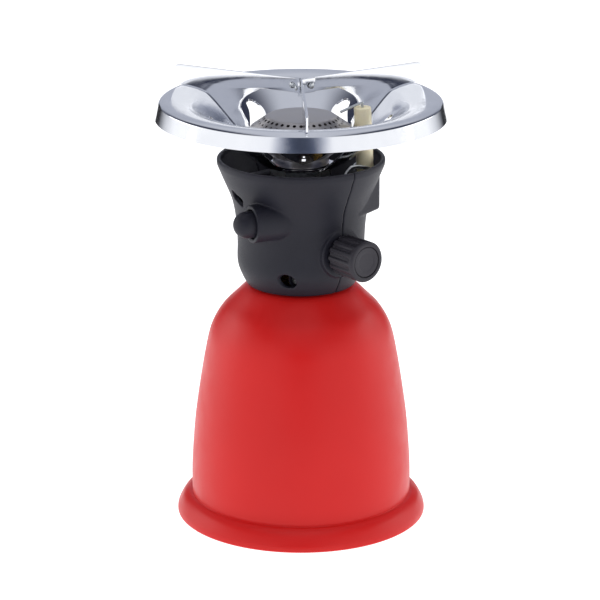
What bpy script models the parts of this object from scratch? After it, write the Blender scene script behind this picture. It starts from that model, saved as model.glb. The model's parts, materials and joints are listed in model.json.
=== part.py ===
"""Camping stove with one burner, for a pierceable gas cartridge.

Frame: metres, +Z up, origin at the centre of the foot on the ground, the igniter
button and the gas knob on the -Y side.  The red base holds the cartridge; the
valve unit with its housing, burner, dish and pot supports screws into it.
"""
import math

import bmesh
import bpy
from mathutils import Matrix, Vector

# ---- driving dimensions (metres and degrees) ----
GAP = 0.0003                  # clearance between pieces that touch
TURN_STEPS = 36               # facets round a large turned piece
SMALL_STEPS = 16              # facets round a small one

BASE_HEIGHT = 0.1175          # ground to the flat crown of the base
BASE_RADIUS = 0.0540          # base wall at the crease above the foot
BASE_WALL = 0.0020
CROWN_WALL = 0.0045
CROWN_RADIUS = 0.0240         # flat crown that carries the threaded collar
SHOULDER_RADIUS = 0.0462
SHOULDER_DROP = 0.0311        # below the crown
FOOT_RADIUS = 0.0613
FOOT_HEIGHT = 0.0106          # crease line above the ground

LATCH_PIVOT_INSET = 0.0005    # pivot circle, inside the base radius
LATCH_REACH = 0.0110
LATCH_WIDTH = 0.0060
LATCH_THICKNESS = 0.0016
LATCH_Z = 0.0026
LATCH_POST_RADIUS = 0.0030
LATCH_SCREW_RADIUS = 0.0015
LATCH_AZIMUTHS = (90.0, 210.0, 330.0)

THREAD_RADIUS = 0.0133        # valve spigot that screws into the collar
COLLAR_WALL = 0.0026
COLLAR_FLANGE_RADIUS = 0.0230
COLLAR_FLANGE = 0.0025
COLLAR_SCREW_CIRCLE = 0.0197
COLLAR_SCREW_RADIUS = 0.0015

HOUSING_GAP = 0.0005          # housing above the crown
HOUSING_HEIGHT = 0.0627
HOUSING_WALL = 0.0022
HOUSING_FOOT_RADIUS = 0.0266
HOUSING_BODY_RADIUS = 0.0308
HOUSING_LIP_RADIUS = 0.0406
SEAM_AZIMUTH = -51.5          # the split plane, which holds the spindle's axis
SEAM_GAP = 0.00015

SPINDLE_HEIGHT = 0.0210       # spindle axis above the housing's underside
SPINDLE_RADIUS = 0.0030
KNOB_RADIUS = 0.0100
KNOB_LENGTH = 0.0174
KNOB_START = 0.0326           # knob's back face from the stove's axis
KNOB_FLUTES = 14
KNOB_FLUTE_DEPTH = 0.0007
KNOB_BOSS_RADIUS = 0.0118

IGNITER_AZIMUTH = -155.0      # the way the igniter button faces
IGNITER_HEIGHT = 0.0375       # igniter axis above the housing's underside
IGNITER_OFFSET = 0.0189       # igniter axis from the stove's axis
IGNITER_RIM = 0.0363          # open rim along the igniter axis, from its nearest point
IGNITER_RIM_RADIUS = 0.0091
BUTTON_RADIUS = 0.0064
BUTTON_OUT = 0.0086
BUTTON_GAP = 0.0006
BUTTON_TRAVEL = 0.0050
IGNITER_BODY_RADIUS = 0.0056
IGNITER_BODY_LENGTH = 0.0220

BULGE_AZIMUTH = 6.0           # side box that covers the electrode
BULGE_RADIUS = 0.0378
BULGE_HALF_WIDTH = 0.0095
BULGE_CORNER = 0.0050         # from its middle to the corner where its front wall slants back
BULGE_TOUCH_RADIUS = HOUSING_BODY_RADIUS + 0.0018    # where that wall meets the round body
BULGE_ROOT = 0.0285
BULGE_Z = 0.0363              # its underside above the housing's underside
BULGE_WALL = 0.0016
BULGE_TOP_INSET = 0.0066      # its top below the housing's lip

SLOT_AZIMUTH = -151.0         # cooling slot above the igniter
SLOT_HEIGHT = 0.0462
SLOT_TILT = -24.0
SLOT_HALF_WIDTH = 0.0042
SLOT_HALF_HEIGHT = 0.0026

SCREW_OFFSET = 0.0184         # housing screws from the stove's axis, in the seam
SCREW_HEIGHT = 0.0084
SCREW_RADIUS = 0.0014
SCREW_HEAD_RADIUS = 0.0028
SCREW_BOSS_RADIUS = 0.0039
SCREW_RECESS_RADIUS = 0.0035
UPPER_SCREW_OFFSET = 0.0220
UPPER_SCREW_HEIGHT = 0.0480

TUBE_RADIUS = 0.0092          # mixing tube
TUBE_WALL = 0.0016
TUBE_Z = 0.0293
AIR_HOLE_RADIUS = 0.0030

DISH_FLOOR_Z = 0.0586         # dish underside above the housing's underside
DISH_WALL = 0.0008
DISH_FLOOR_RADIUS = 0.0160
DISH_RADIUS = 0.0700
DISH_EDGE_INSET = 0.0016
DISH_SKIRT = 0.0077
DISH_EDGE_Z = 0.0312          # sharp edge above the dish's underside
DISH_BRIM_RISE = 0.0010
DISH_BRIM_RADIUS = DISH_RADIUS - 0.0070
DISH_MOUTH_RADIUS = DISH_RADIUS - 0.0152
DISH_SLOPE_RADIUS = DISH_RADIUS - 0.0216
DISH_LOW_RADIUS = 0.0302

SUPPORT_AZIMUTHS = (-87.7, 32.3, 152.3)
SUPPORT_THICKNESS = 0.0010
SUPPORT_RADIUS = DISH_RADIUS - 0.0003
SUPPORT_TOP_Z = 0.0422        # above the dish's underside
SUPPORT_BAR = 0.0070
SUPPORT_ARCH_RADIUS = 0.0328
SUPPORT_LEG_RADIUS = 0.0284
SUPPORT_FLANGE = 0.0070
SUPPORT_TAB = (0.0313, 0.0340)    # tab of the leg through the dish, from the stove's axis
SUPPORT_TAB_Z = (0.0110, 0.0180)  # above the dish's underside
RIVET_OFFSET = 0.0044
RIVET_RADIUS = 0.0009

CUP_RADIUS = 0.0233
CUP_WALL = 0.0011
CUP_HUB_RADIUS = 0.0135
CUP_RIM_Z = 0.0169            # cup's rim above the dish's underside
CAP_TOP_RADIUS = 0.0162
CAP_TOP_Z = 0.0243            # above the dish's underside
CAP_WALL = 0.0009
CAP_HOLES = 36
CAP_HOLE_RADII = (0.0007, 0.0005)
CAP_ROW_RADII = (0.0179, 0.0202)

CERAMIC_RADIUS = 0.00415
CERAMIC_LOW = 0.0316          # insulator's axis from the stove's axis, at its foot
CERAMIC_HIGH = 0.0296         # and at its top
CERAMIC_FOOT_Z = 0.0462       # above the housing's underside
CERAMIC_TOP_Z = 0.0862
ELECTRODE_RADIUS = 0.0007
LEAD_RADIUS = 0.0012

# ---- levels and axes worked out from them ----
CROWN_Z = BASE_HEIGHT
HOUSING_Z = CROWN_Z + HOUSING_GAP
DISH_Z = HOUSING_Z + DISH_FLOOR_Z
SPINDLE_Z = HOUSING_Z + SPINDLE_HEIGHT
IGNITER_Z = HOUSING_Z + IGNITER_HEIGHT
HOUSING_FLOOR = 0.0024
THREAD_BORE = THREAD_RADIUS + GAP
COLLAR_RADIUS = THREAD_BORE + COLLAR_WALL
COLLAR_Z = CROWN_Z - CROWN_WALL - GAP - COLLAR_FLANGE
SHOULDER_Z = HOUSING_Z + HOUSING_FLOOR + GAP
VALVE_RADIUS = 0.0100
VALVE_SHOULDER = 0.0014
JET_Z = HOUSING_Z + 0.0332

PALETTE = {
    "red_plastic": ("#CC2B2A", 0.35, 0.0),
    "charcoal_plastic": ("#3E3E45", 0.55, 0.0),
    "chrome_steel": ("#D8DADD", 0.12, 1.0),
    "burner_steel": ("#9A969C", 0.35, 1.0),
    "zinc_steel": ("#A9ABAD", 0.40, 1.0),
    "brass": ("#B08A45", 0.35, 1.0),
    "ceramic": ("#D8CCA0", 0.45, 0.0),
    "black_rubber": ("#1C1C1E", 0.75, 0.0),
    "igniter_plastic": ("#55504C", 0.50, 0.0),
}


def linear(channel):
    """One sRGB channel, 0 to 1, as linear light."""
    return channel / 12.92 if channel <= 0.04045 else ((channel + 0.055) / 1.055) ** 2.4


def material(name):
    """The named palette entry as a Principled material, made once."""
    found = bpy.data.materials.get(name)
    if found:
        return found
    colour, roughness, metallic = PALETTE[name]
    made = bpy.data.materials.new(name)
    made.use_nodes = True
    shader = made.node_tree.nodes["Principled BSDF"]
    rgb = [linear(int(colour[i:i + 2], 16) / 255.0) for i in (1, 3, 5)]
    shader.inputs["Base Color"].default_value = (*rgb, 1.0)
    shader.inputs["Roughness"].default_value = roughness
    shader.inputs["Metallic"].default_value = metallic
    return made


# ---- outlines ----
def arc(centre, radius, start, end, steps):
    """Points round a centre (x, z) between two angles in degrees, both ends included."""
    points = []
    for i in range(steps + 1):
        angle = math.radians(start + (end - start) * i / steps)
        points.append((centre[0] + radius * math.cos(angle), centre[1] + radius * math.sin(angle)))
    return points


def smooth(points, steps):
    """A Catmull-Rom curve through the points, with that many steps between each two."""
    ends = [points[0]] + list(points) + [points[-1]]
    curve = [points[0]]
    for i in range(1, len(ends) - 2):
        a, b, c, d = (Vector(p) for p in ends[i - 1:i + 3])
        for k in range(1, steps + 1):
            t = k / steps
            point = b + 0.5 * t * (c - a + t * (2 * a - 5 * b + 4 * c - d
                                                + t * (3 * (b - c) + d - a)))
            curve.append(tuple(point))
    return curve


def offset(points, distance):
    """An open outline moved sideways, to the left of its direction when positive."""
    moved = []
    for i, point in enumerate(points):
        before = Vector(points[max(i - 1, 0)])
        after = Vector(points[min(i + 1, len(points) - 1)])
        along = (after - before).normalized()
        moved.append((point[0] - along.y * distance, point[1] + along.x * distance))
    return moved


def azimuth(degrees):
    """Unit vector on the ground plane."""
    return Vector((math.cos(math.radians(degrees)), math.sin(math.radians(degrees)), 0.0))


# ---- solids ----
def finish(name, bm, finish_name, smooth_angle=35.0):
    """Turn a bmesh into a named object with its material, smooth over gentle edges."""
    bmesh.ops.remove_doubles(bm, verts=bm.verts, dist=1e-7)
    bmesh.ops.recalc_face_normals(bm, faces=bm.faces)
    mesh = bpy.data.meshes.new(name)
    bm.to_mesh(mesh)
    bm.free()
    mesh.shade_smooth()
    mesh.set_sharp_from_angle(angle=math.radians(smooth_angle))
    made = bpy.data.objects.new(name, mesh)
    bpy.context.scene.collection.objects.link(made)
    if finish_name:
        mesh.materials.append(material(finish_name))
    return made


def turned(name, outline, finish_name, steps=TURN_STEPS):
    """Spin an outline of (radius, z) points about Z; it closes itself off the axis."""
    bm = bmesh.new()
    verts = [bm.verts.new((r, 0.0, z)) for r, z in outline]
    on_axis = outline[0][0] < 1e-9 and outline[-1][0] < 1e-9
    pairs = list(zip(verts, verts[1:]))
    if not on_axis:
        pairs.append((verts[-1], verts[0]))
    edges = [bm.edges.new(pair) for pair in pairs]
    bmesh.ops.spin(bm, geom=verts + edges, cent=(0, 0, 0), axis=(0, 0, 1),
                   angle=math.tau, steps=steps, use_merge=True)
    return finish(name, bm, finish_name)


def prism(name, outline, low, high, finish_name, smooth_angle=35.0, bevel=0.0):
    """Extrude a closed (x, y) outline from one height to another, edges rounded when bevel is set."""
    bm = bmesh.new()
    face = bm.faces.new([bm.verts.new((x, y, low)) for x, y in outline])
    lifted = bmesh.ops.extrude_face_region(bm, geom=[face])["geom"]
    tops = [item for item in lifted if isinstance(item, bmesh.types.BMVert)]
    bmesh.ops.translate(bm, verts=tops, vec=(0, 0, high - low))
    if bevel:
        bmesh.ops.bevel(bm, geom=bm.edges, offset=bevel, segments=3, affect="EDGES", profile=0.5)
    return finish(name, bm, finish_name, smooth_angle)


def rod(name, radius, low, high, finish_name=None, steps=SMALL_STEPS):
    """A solid cylinder along Z."""
    return turned(name, [(0, low), (radius, low), (radius, high), (0, high)], finish_name, steps)


def block(name, corner, opposite, finish_name=None, bevel=0.0):
    """A box between two corners, with its edges rounded when bevel is set."""
    bm = bmesh.new()
    size = Vector(opposite) - Vector(corner)
    centre = (Vector(opposite) + Vector(corner)) / 2
    bmesh.ops.create_cube(bm, size=1.0, matrix=Matrix.Translation(centre) @ Matrix.Diagonal((*size, 1.0)))
    if bevel:
        bmesh.ops.bevel(bm, geom=bm.edges, offset=bevel, segments=3, affect="EDGES", profile=0.5)
    return finish(name, bm, finish_name)


def hexagon(across_flats):
    """Corners of a hexagon, by its width over the flats."""
    radius = across_flats / math.sqrt(3)
    return [(radius * math.cos(math.radians(60 * i)), radius * math.sin(math.radians(60 * i)))
            for i in range(6)]


def wire(name, points, radius, finish_name, sides=2):
    """A round wire through the points, with closed ends."""
    curve = bpy.data.curves.new(name, "CURVE")
    curve.dimensions = "3D"
    curve.bevel_depth = radius
    curve.bevel_resolution = sides
    curve.use_fill_caps = True
    spline = curve.splines.new("POLY")
    spline.points.add(len(points) - 1)
    for spot, point in zip(spline.points, points):
        spot.co = (*point, 1.0)
    made = bpy.data.objects.new(name, curve)
    bpy.context.scene.collection.objects.link(made)
    curve.materials.append(material(finish_name))
    return made


def place(obj, location, direction=None, up="Y"):
    """Put an object at a point, with its local Z along a direction."""
    obj.location = location
    if direction is not None:
        obj.rotation_euler = Vector(direction).to_track_quat("Z", up).to_euler()
    return obj


def helper(obj):
    """Mark an object as a tool of a Boolean: it isn't part of the stove."""
    obj.hide_render = True
    obj.display_type = "WIRE"
    return obj


def combine(target, operation, tools):
    """Join the helper solids to the target, or take them away, in one exact Boolean."""
    group = bpy.data.collections.new(f"{target.name}_{operation.lower()}")
    bpy.context.scene.collection.children.link(group)
    for tool in tools:
        helper(tool)
        bpy.context.scene.collection.objects.unlink(tool)
        group.objects.link(tool)
    step = target.modifiers.new(group.name, "BOOLEAN")
    step.operation = operation
    step.solver = "EXACT"
    step.operand_type = "COLLECTION"
    step.collection = group


def cut(target, *tools):
    """Take the tools away from the target."""
    combine(target, "DIFFERENCE", tools)


def fuse(target, *tools):
    """Join the tools to the target."""
    combine(target, "UNION", tools)


# ---- base ----
def base_outline():
    """Outer side of the base from the ground to the edge of its crown."""
    foot = smooth([(FOOT_RADIUS, 0.0), (FOOT_RADIUS - 0.0005, FOOT_HEIGHT * 0.35),
                   (FOOT_RADIUS - 0.0030, FOOT_HEIGHT * 0.77),
                   (BASE_RADIUS + 0.0013, FOOT_HEIGHT * 0.98)], 1)
    shoulder_z = CROWN_Z - SHOULDER_DROP
    rise = shoulder_z - FOOT_HEIGHT
    taper = BASE_RADIUS - SHOULDER_RADIUS
    side = [(BASE_RADIUS, FOOT_HEIGHT + 0.0006),
            (BASE_RADIUS - 0.02 * taper, FOOT_HEIGHT + 0.20 * rise),
            (BASE_RADIUS - 0.22 * taper, FOOT_HEIGHT + 0.48 * rise),
            (BASE_RADIUS - 0.56 * taper, FOOT_HEIGHT + 0.74 * rise),
            (SHOULDER_RADIUS, shoulder_z),
            (SHOULDER_RADIUS - 0.0027, CROWN_Z - 0.68 * SHOULDER_DROP),
            (SHOULDER_RADIUS - 0.0073, CROWN_Z - 0.42 * SHOULDER_DROP),
            (CROWN_RADIUS + 0.0090, CROWN_Z - 0.22 * SHOULDER_DROP),
            (CROWN_RADIUS + 0.0034, CROWN_Z - 0.05 * SHOULDER_DROP),
            (CROWN_RADIUS, CROWN_Z)]
    return foot + side


def make_base():
    """Red base shell, open below for the cartridge, with a hole for the collar."""
    outer = base_outline()
    inner = [p for p in offset(outer, BASE_WALL) if p[1] < CROWN_Z - CROWN_WALL - 0.0005]
    inner[0] = (FOOT_RADIUS - BASE_WALL, 0.0)
    ceiling = CROWN_Z - CROWN_WALL
    hole = COLLAR_RADIUS + GAP
    outline = outer + [(hole, CROWN_Z), (hole, ceiling), (inner[-1][0] - 0.0020, ceiling)]
    shell = turned("base_shell", outline + inner[::-1], "red_plastic")
    pivot = BASE_RADIUS - LATCH_PIVOT_INSET
    posts = []
    bores = []
    for i, angle in enumerate(LATCH_AZIMUTHS):
        spot = azimuth(angle) * pivot
        post_foot = LATCH_Z + LATCH_THICKNESS + GAP
        post = rod(f"latch_post_{i}", LATCH_POST_RADIUS, post_foot, FOOT_HEIGHT - 0.0009)
        posts.append(place(post, spot))
        bore = rod(f"latch_bore_{i}", LATCH_SCREW_RADIUS + GAP, 0.0010, FOOT_HEIGHT - 0.0024)
        bores.append(place(bore, spot))
    for i in range(3):
        bore = rod(f"collar_bore_{i}", COLLAR_SCREW_RADIUS + GAP, ceiling - 0.001, CROWN_Z - 0.0015)
        bores.append(place(bore, azimuth(120 * i + 30) * COLLAR_SCREW_CIRCLE))
    fuse(shell, *posts)
    cut(shell, *bores)


def make_latches():
    """Swivel latches under the foot that hold the cartridge in."""
    pivot = BASE_RADIUS - LATCH_PIVOT_INSET
    half = LATCH_WIDTH / 2
    outline = (arc((0, 0), half, -90, 90, 8)
               + arc((-LATCH_REACH + half / 2, half / 2), half / 2, 90, 180, 3)
               + arc((-LATCH_REACH + half / 2, -half / 2), half / 2, 180, 270, 3))
    for i, angle in enumerate(LATCH_AZIMUTHS):
        latch = prism(f"cartridge_latch_{i + 1}", outline, 0.0, LATCH_THICKNESS, "zinc_steel")
        latch.location = azimuth(angle) * pivot + Vector((0, 0, LATCH_Z))
        latch.rotation_euler.z = math.radians(angle)
        bore = rod(f"latch_hole_{i}", LATCH_SCREW_RADIUS + GAP, -0.001, LATCH_THICKNESS + 0.001)
        bore.location = latch.location
        cut(latch, bore)
        screw = turned(f"latch_screw_{i + 1}", [(0, 0.0010), (0.0026, 0.0010), (0.0030, 0.0014),
                                                (0.0030, LATCH_Z - GAP), (LATCH_SCREW_RADIUS, LATCH_Z - GAP),
                                                (LATCH_SCREW_RADIUS, FOOT_HEIGHT - 0.0028),
                                                (0, FOOT_HEIGHT - 0.0028)], "zinc_steel", SMALL_STEPS)
        slot = block(f"latch_slot_{i}", (-0.0035, -0.0004, 0.0005), (0.0035, 0.0004, 0.0016))
        place(slot, azimuth(angle) * pivot)
        cut(place(screw, azimuth(angle) * pivot), slot)


def make_collar():
    """Threaded collar clamped under the crown, with its three screws."""
    collar = turned("threaded_collar", [
        (THREAD_BORE, COLLAR_Z), (COLLAR_FLANGE_RADIUS, COLLAR_Z),
        (COLLAR_FLANGE_RADIUS, COLLAR_Z + COLLAR_FLANGE), (COLLAR_RADIUS, COLLAR_Z + COLLAR_FLANGE),
        (COLLAR_RADIUS, CROWN_Z - GAP), (THREAD_BORE, CROWN_Z - GAP)], "brass", 40)
    bores = []
    for i in range(3):
        bore = rod(f"flange_bore_{i}", COLLAR_SCREW_RADIUS + GAP, COLLAR_Z - 0.001,
                   COLLAR_Z + COLLAR_FLANGE + 0.001)
        bores.append(place(bore, azimuth(120 * i + 30) * COLLAR_SCREW_CIRCLE))
    cut(collar, *bores)
    outline = [(0, COLLAR_Z - 0.0019), (0.0022, COLLAR_Z - 0.0019), (0.0026, COLLAR_Z - 0.0014),
               (0.0026, COLLAR_Z - GAP), (COLLAR_SCREW_RADIUS, COLLAR_Z - GAP),
               (COLLAR_SCREW_RADIUS, CROWN_Z - 0.0020), (0, CROWN_Z - 0.0020)]
    for i in range(3):
        screw = turned(f"collar_screw_{i + 1}", outline, "zinc_steel", 12)
        place(screw, azimuth(120 * i + 30) * COLLAR_SCREW_CIRCLE)


# ---- valve unit ----
def make_valve():
    """Brass valve body: spigot below, spindle boss at the side, jet seat on top."""
    bottom = COLLAR_Z - 0.0072
    seat = bottom + 0.0030
    top = HOUSING_Z + TUBE_Z
    body = turned("valve_body", [
        (0.0022, seat), (0.0083, seat), (0.0083, bottom), (THREAD_RADIUS - 0.001, bottom),
        (THREAD_RADIUS, bottom + 0.001), (THREAD_RADIUS, SHOULDER_Z), (0.0175, SHOULDER_Z),
        (0.0175, SHOULDER_Z + VALVE_SHOULDER), (VALVE_RADIUS, SHOULDER_Z + VALVE_SHOULDER),
        (VALVE_RADIUS, top - GAP), (TUBE_RADIUS - TUBE_WALL - GAP, top - GAP),
        (TUBE_RADIUS - TUBE_WALL - GAP, JET_Z), (0.0022, JET_Z), (0.0022, JET_Z - 0.0040),
        (0.0010, JET_Z - 0.0045), (0.0010, seat + 0.0095), (0.0022, seat + 0.0090)], "brass", 32)
    out = azimuth(SEAM_AZIMUTH)
    centre = Vector((0, 0, SPINDLE_Z))
    fuse(body, place(rod("spindle_boss", 0.0070, 0.004, 0.0225), centre, out))
    cut(body, place(rod("spindle_bore", SPINDLE_RADIUS + GAP, 0.0035, 0.0260), centre, out),
        place(rod("gland_bore", 0.0054, 0.0168, 0.0260), centre, out))
    turned("piercing_needle", [(0, bottom - 0.0058), (0.0019, bottom - 0.0026),
                               (0.0019, seat + 0.0085), (0, seat + 0.0085)], "zinc_steel", 12)
    turned("cartridge_seal", [(0.0024, bottom - 0.0012), (0.0080, bottom - 0.0012),
                              (0.0080, seat - GAP), (0.0024, seat - GAP)], "black_rubber", 24)
    jet = prism("jet", hexagon(0.0062), 0.0, 0.0030, "brass")
    jet.location = (0, 0, JET_Z + GAP)
    fuse(jet, place(turned("jet_nose", [(0, -0.0030), (0.0018, -0.0030), (0.0018, 0.0010),
                                        (0.0024, 0.0010), (0.0024, 0.0042), (0.0014, 0.0056),
                                        (0, 0.0056)], None, 16), jet.location))
    cut(jet, place(rod("jet_bore", 0.0006, -0.0040, 0.0065, None, 8), jet.location))


def make_spindle():
    """Needle-valve spindle with its seal, packing nut and the gas knob."""
    out = azimuth(SEAM_AZIMUTH)
    centre = Vector((0, 0, SPINDLE_Z))
    face = KNOB_START + KNOB_LENGTH
    place(turned("valve_spindle", [(0, 0.0038), (0.0022, 0.0070), (SPINDLE_RADIUS, 0.0078),
                                   (SPINDLE_RADIUS, KNOB_START + 0.0110), (0, KNOB_START + 0.0110)],
                 "zinc_steel", 16), centre, out)
    ring = turned("spindle_o_ring", arc((0.0041, 0.0178), 0.00075, 0, 315, 7), "black_rubber", 16)
    place(ring, centre, out)
    nut = prism("packing_nut", hexagon(0.0130), 0.0228, 0.0284, "brass")
    place(nut, centre, out)
    fuse(nut, place(rod("nut_spigot", 0.0051, 0.0192, 0.0240), centre, out))
    cut(nut, place(rod("nut_bore", SPINDLE_RADIUS + GAP, 0.0180, 0.0300), centre, out))

    def fluted(radius):
        points = []
        for i in range(KNOB_FLUTES):
            for share, depth in ((0.0, 0.0), (0.34, 0.0), (0.44, 1.0), (0.90, 1.0)):
                angle = math.tau * (i + share) / KNOB_FLUTES
                size = radius - depth * KNOB_FLUTE_DEPTH
                points.append((size * math.cos(angle), size * math.sin(angle)))
        return points

    bm = bmesh.new()
    rings = []
    for radius, z in ((KNOB_RADIUS * 0.97, 0.0), (KNOB_RADIUS, KNOB_LENGTH - 0.0012),
                      (KNOB_RADIUS - 0.0011, KNOB_LENGTH)):
        rings.append([bm.verts.new((x, y, z)) for x, y in fluted(radius)])
    count = len(rings[0])
    for low, high in zip(rings, rings[1:]):
        for i in range(count):
            k = (i + 1) % count
            bm.faces.new((low[i], low[k], high[k], high[i]))
    bm.faces.new(rings[0][::-1])
    bm.faces.new(rings[-1])
    knob = place(finish("control_knob", bm, "charcoal_plastic", 25.0), centre + out * KNOB_START, out)
    depth = 0.0012
    cut(knob, place(rod("knob_recess", 0.0075, KNOB_LENGTH - depth, KNOB_LENGTH + 0.001, None, 32),
                    knob.location, out),
        place(rod("knob_bore", SPINDLE_RADIUS + GAP, -0.001, 0.0114), knob.location, out))
    cap = turned("knob_cap", [(0, face - depth + GAP), (0.0072, face - depth + GAP),
                              (0.0072, face - 0.0003), (0.0048, face - 0.0003),
                              (0.0046, face - 0.0005), (0, face - 0.0005)], "charcoal_plastic", 32)
    place(cap, centre, out)


# ---- housing ----
def housing_outline():
    """Outer side of the housing from its foot to the top of its flared lip."""
    top = HOUSING_Z + HOUSING_HEIGHT
    side = [(HOUSING_FOOT_RADIUS, HOUSING_Z),
            (HOUSING_FOOT_RADIUS + 0.0022, HOUSING_Z + 0.0048),
            (HOUSING_BODY_RADIUS, HOUSING_Z + 0.0110),
            (HOUSING_BODY_RADIUS, HOUSING_Z + 0.0210),
            (HOUSING_BODY_RADIUS + 0.0007, top - 0.0305),
            (HOUSING_BODY_RADIUS + 0.0027, top - 0.0200),
            (HOUSING_LIP_RADIUS - 0.0030, top - 0.0100),
            (HOUSING_LIP_RADIUS - 0.0001, top - 0.0030)]
    lip = arc((HOUSING_LIP_RADIUS - HOUSING_WALL / 2, top - HOUSING_WALL / 2), HOUSING_WALL / 2, 0, 180, 4)
    return side, lip


def igniter_frame():
    """Centre of the igniter's open rim and the way it faces."""
    out = azimuth(IGNITER_AZIMUTH)
    side = azimuth(IGNITER_AZIMUTH + 90)
    nearest = side * IGNITER_OFFSET + Vector((0, 0, IGNITER_Z))
    return nearest + out * IGNITER_RIM, out


def ceramic_frame():
    """Foot of the insulator and the direction of its axis."""
    out = azimuth(BULGE_AZIMUTH)
    foot = out * CERAMIC_LOW + Vector((0, 0, HOUSING_Z + CERAMIC_FOOT_Z))
    top = out * CERAMIC_HIGH + Vector((0, 0, HOUSING_Z + CERAMIC_TOP_Z))
    return foot, (top - foot).normalized(), (top - foot).length


def housing_screws():
    """Each housing screw as (name, place in the seam, side its head is on)."""
    along = azimuth(SEAM_AZIMUTH)
    low = Vector((0, 0, HOUSING_Z + SCREW_HEIGHT))
    high = Vector((0, 0, HOUSING_Z + UPPER_SCREW_HEIGHT))
    return [(along * SCREW_OFFSET + low, -1.0), (along * -SCREW_OFFSET + low, 1.0),
            (along * -UPPER_SCREW_OFFSET + high, 1.0)]


def bulge(name, inset, root, low, high, bevel=0.0):
    """The electrode's side box, or the room inside its walls when inset is set.

    Its front wall slants back from the corner until it touches the round body.
    """
    corner = Vector((BULGE_RADIUS, -BULGE_CORNER))
    turn = math.atan2(corner.y, corner.x) - math.acos(BULGE_TOUCH_RADIUS / corner.length)
    reach = BULGE_TOUCH_RADIUS - inset
    front = BULGE_RADIUS - inset
    side = BULGE_HALF_WIDTH - inset
    outline = [(front, (reach - front * math.cos(turn)) / math.sin(turn)), (front, side),
               (root, side), (reach * math.cos(turn), reach * math.sin(turn))]
    made = prism(name, outline, HOUSING_Z + low, HOUSING_Z + high, None, bevel=bevel)
    made.rotation_euler.z = math.radians(BULGE_AZIMUTH)
    return made


def make_housing(name, side):
    """One half of the housing; side -1 is the igniter's half, +1 the electrode's."""
    outer, lip = housing_outline()
    inner = [p for p in offset(outer, HOUSING_WALL) if p[1] > HOUSING_Z + HOUSING_FLOOR + 0.001]
    hole = THREAD_RADIUS + 0.0004
    floor = HOUSING_Z + HOUSING_FLOOR
    outline = ([(hole, HOUSING_Z)] + outer + lip + inner[::-1]
               + [(inner[0][0] - 0.0010, floor), (hole, floor)])
    shell = turned(name, outline, "charcoal_plastic")
    seam_normal = azimuth(SEAM_AZIMUTH + 90)
    tag = name[8:]

    spindle = Vector((0, 0, SPINDLE_Z))
    out = azimuth(SEAM_AZIMUTH)
    joined = [place(rod(f"knob_boss_{tag}", KNOB_BOSS_RADIUS, HOUSING_BODY_RADIUS - 0.0035,
                        KNOB_START - 0.0010, None, 32), spindle, out)]
    bores = [place(rod(f"knob_hole_{tag}", 0.0078, 0.020, KNOB_START - 0.0025, None, 24), spindle, out),
             place(rod(f"shaft_hole_{tag}", 0.0044, 0.020, 0.040), spindle, out)]

    if side < 0:
        rim, facing = igniter_frame()
        back = BUTTON_TRAVEL + 0.0085
        joined.append(place(rod("igniter_boss", IGNITER_RIM_RADIUS, -0.0240, 0.0, None, 32), rim, facing))
        bores.append(place(rod("igniter_bore", IGNITER_BODY_RADIUS + GAP, -0.0300, -0.0050), rim, facing))
        button_bore = rod("button_bore", BUTTON_RADIUS + BUTTON_GAP, -back, 0.0100, None, 24)
        bores.append(place(button_bore, rim, facing))
        slot = block("air_slot", (HOUSING_BODY_RADIUS - 0.0038, -SLOT_HALF_WIDTH, -SLOT_HALF_HEIGHT),
                     (HOUSING_LIP_RADIUS, SLOT_HALF_WIDTH, SLOT_HALF_HEIGHT), None, 0.0008)
        slot.location = (0, 0, HOUSING_Z + SLOT_HEIGHT)
        slot.rotation_euler = (math.radians(SLOT_TILT), 0.0, math.radians(SLOT_AZIMUTH))
        bores.append(slot)
    else:
        fuse(shell, bulge("bulge", 0.0, BULGE_ROOT, BULGE_Z, HOUSING_HEIGHT - BULGE_TOP_INSET, 0.0013))
        cut(shell, bulge("bulge_room", BULGE_WALL, BULGE_ROOT - 0.0085, BULGE_Z + BULGE_WALL,
                         HOUSING_HEIGHT + 0.002))
        foot, up, _ = ceramic_frame()
        joined.append(place(rod("socket", CERAMIC_RADIUS + 0.0018, 0.0015, 0.0090, None, 24), foot, up))
        bores.append(place(rod("socket_bore", CERAMIC_RADIUS + GAP, -0.0030, 0.0200, None, 24), foot, up))

    facing = seam_normal * side
    for i, (spot, head_side) in enumerate(housing_screws()):
        reach = 0.0195 if spot.z < SPINDLE_Z else 0.0212
        joined.append(place(rod(f"screw_boss_{tag}_{i}", SCREW_BOSS_RADIUS, 0.0, reach), spot, facing))
        bores.append(place(rod(f"screw_hole_{tag}_{i}", SCREW_RADIUS + GAP, -0.001, 0.0185), spot, facing))
        if head_side == side:
            recess = rod(f"screw_recess_{tag}_{i}", SCREW_RECESS_RADIUS, 0.0160, 0.0400)
            bores.append(place(recess, spot, facing))
    other_half = block(f"other_half_{tag}", (-0.09, -0.12, 0.05), (0.09, SEAM_GAP, 0.25))
    other_half.rotation_euler.z = math.radians(SEAM_AZIMUTH + (0.0 if side > 0 else 180.0))
    fuse(shell, *joined)
    cut(shell, other_half, *bores)


def make_housing_screws():
    """The three pan-head screws that hold the housing halves together."""
    normal = azimuth(SEAM_AZIMUTH + 90)
    outline = [(0, -0.0130), (SCREW_RADIUS, -0.0120), (SCREW_RADIUS, 0.0163), (SCREW_HEAD_RADIUS, 0.0163),
               (SCREW_HEAD_RADIUS, 0.0176), (0.0020, 0.0183), (0, 0.0183)]
    for i, (spot, side) in enumerate(housing_screws()):
        screw = turned(f"housing_screw_{i + 1}", outline, "zinc_steel", 12)
        place(screw, spot, normal * side)


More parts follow.
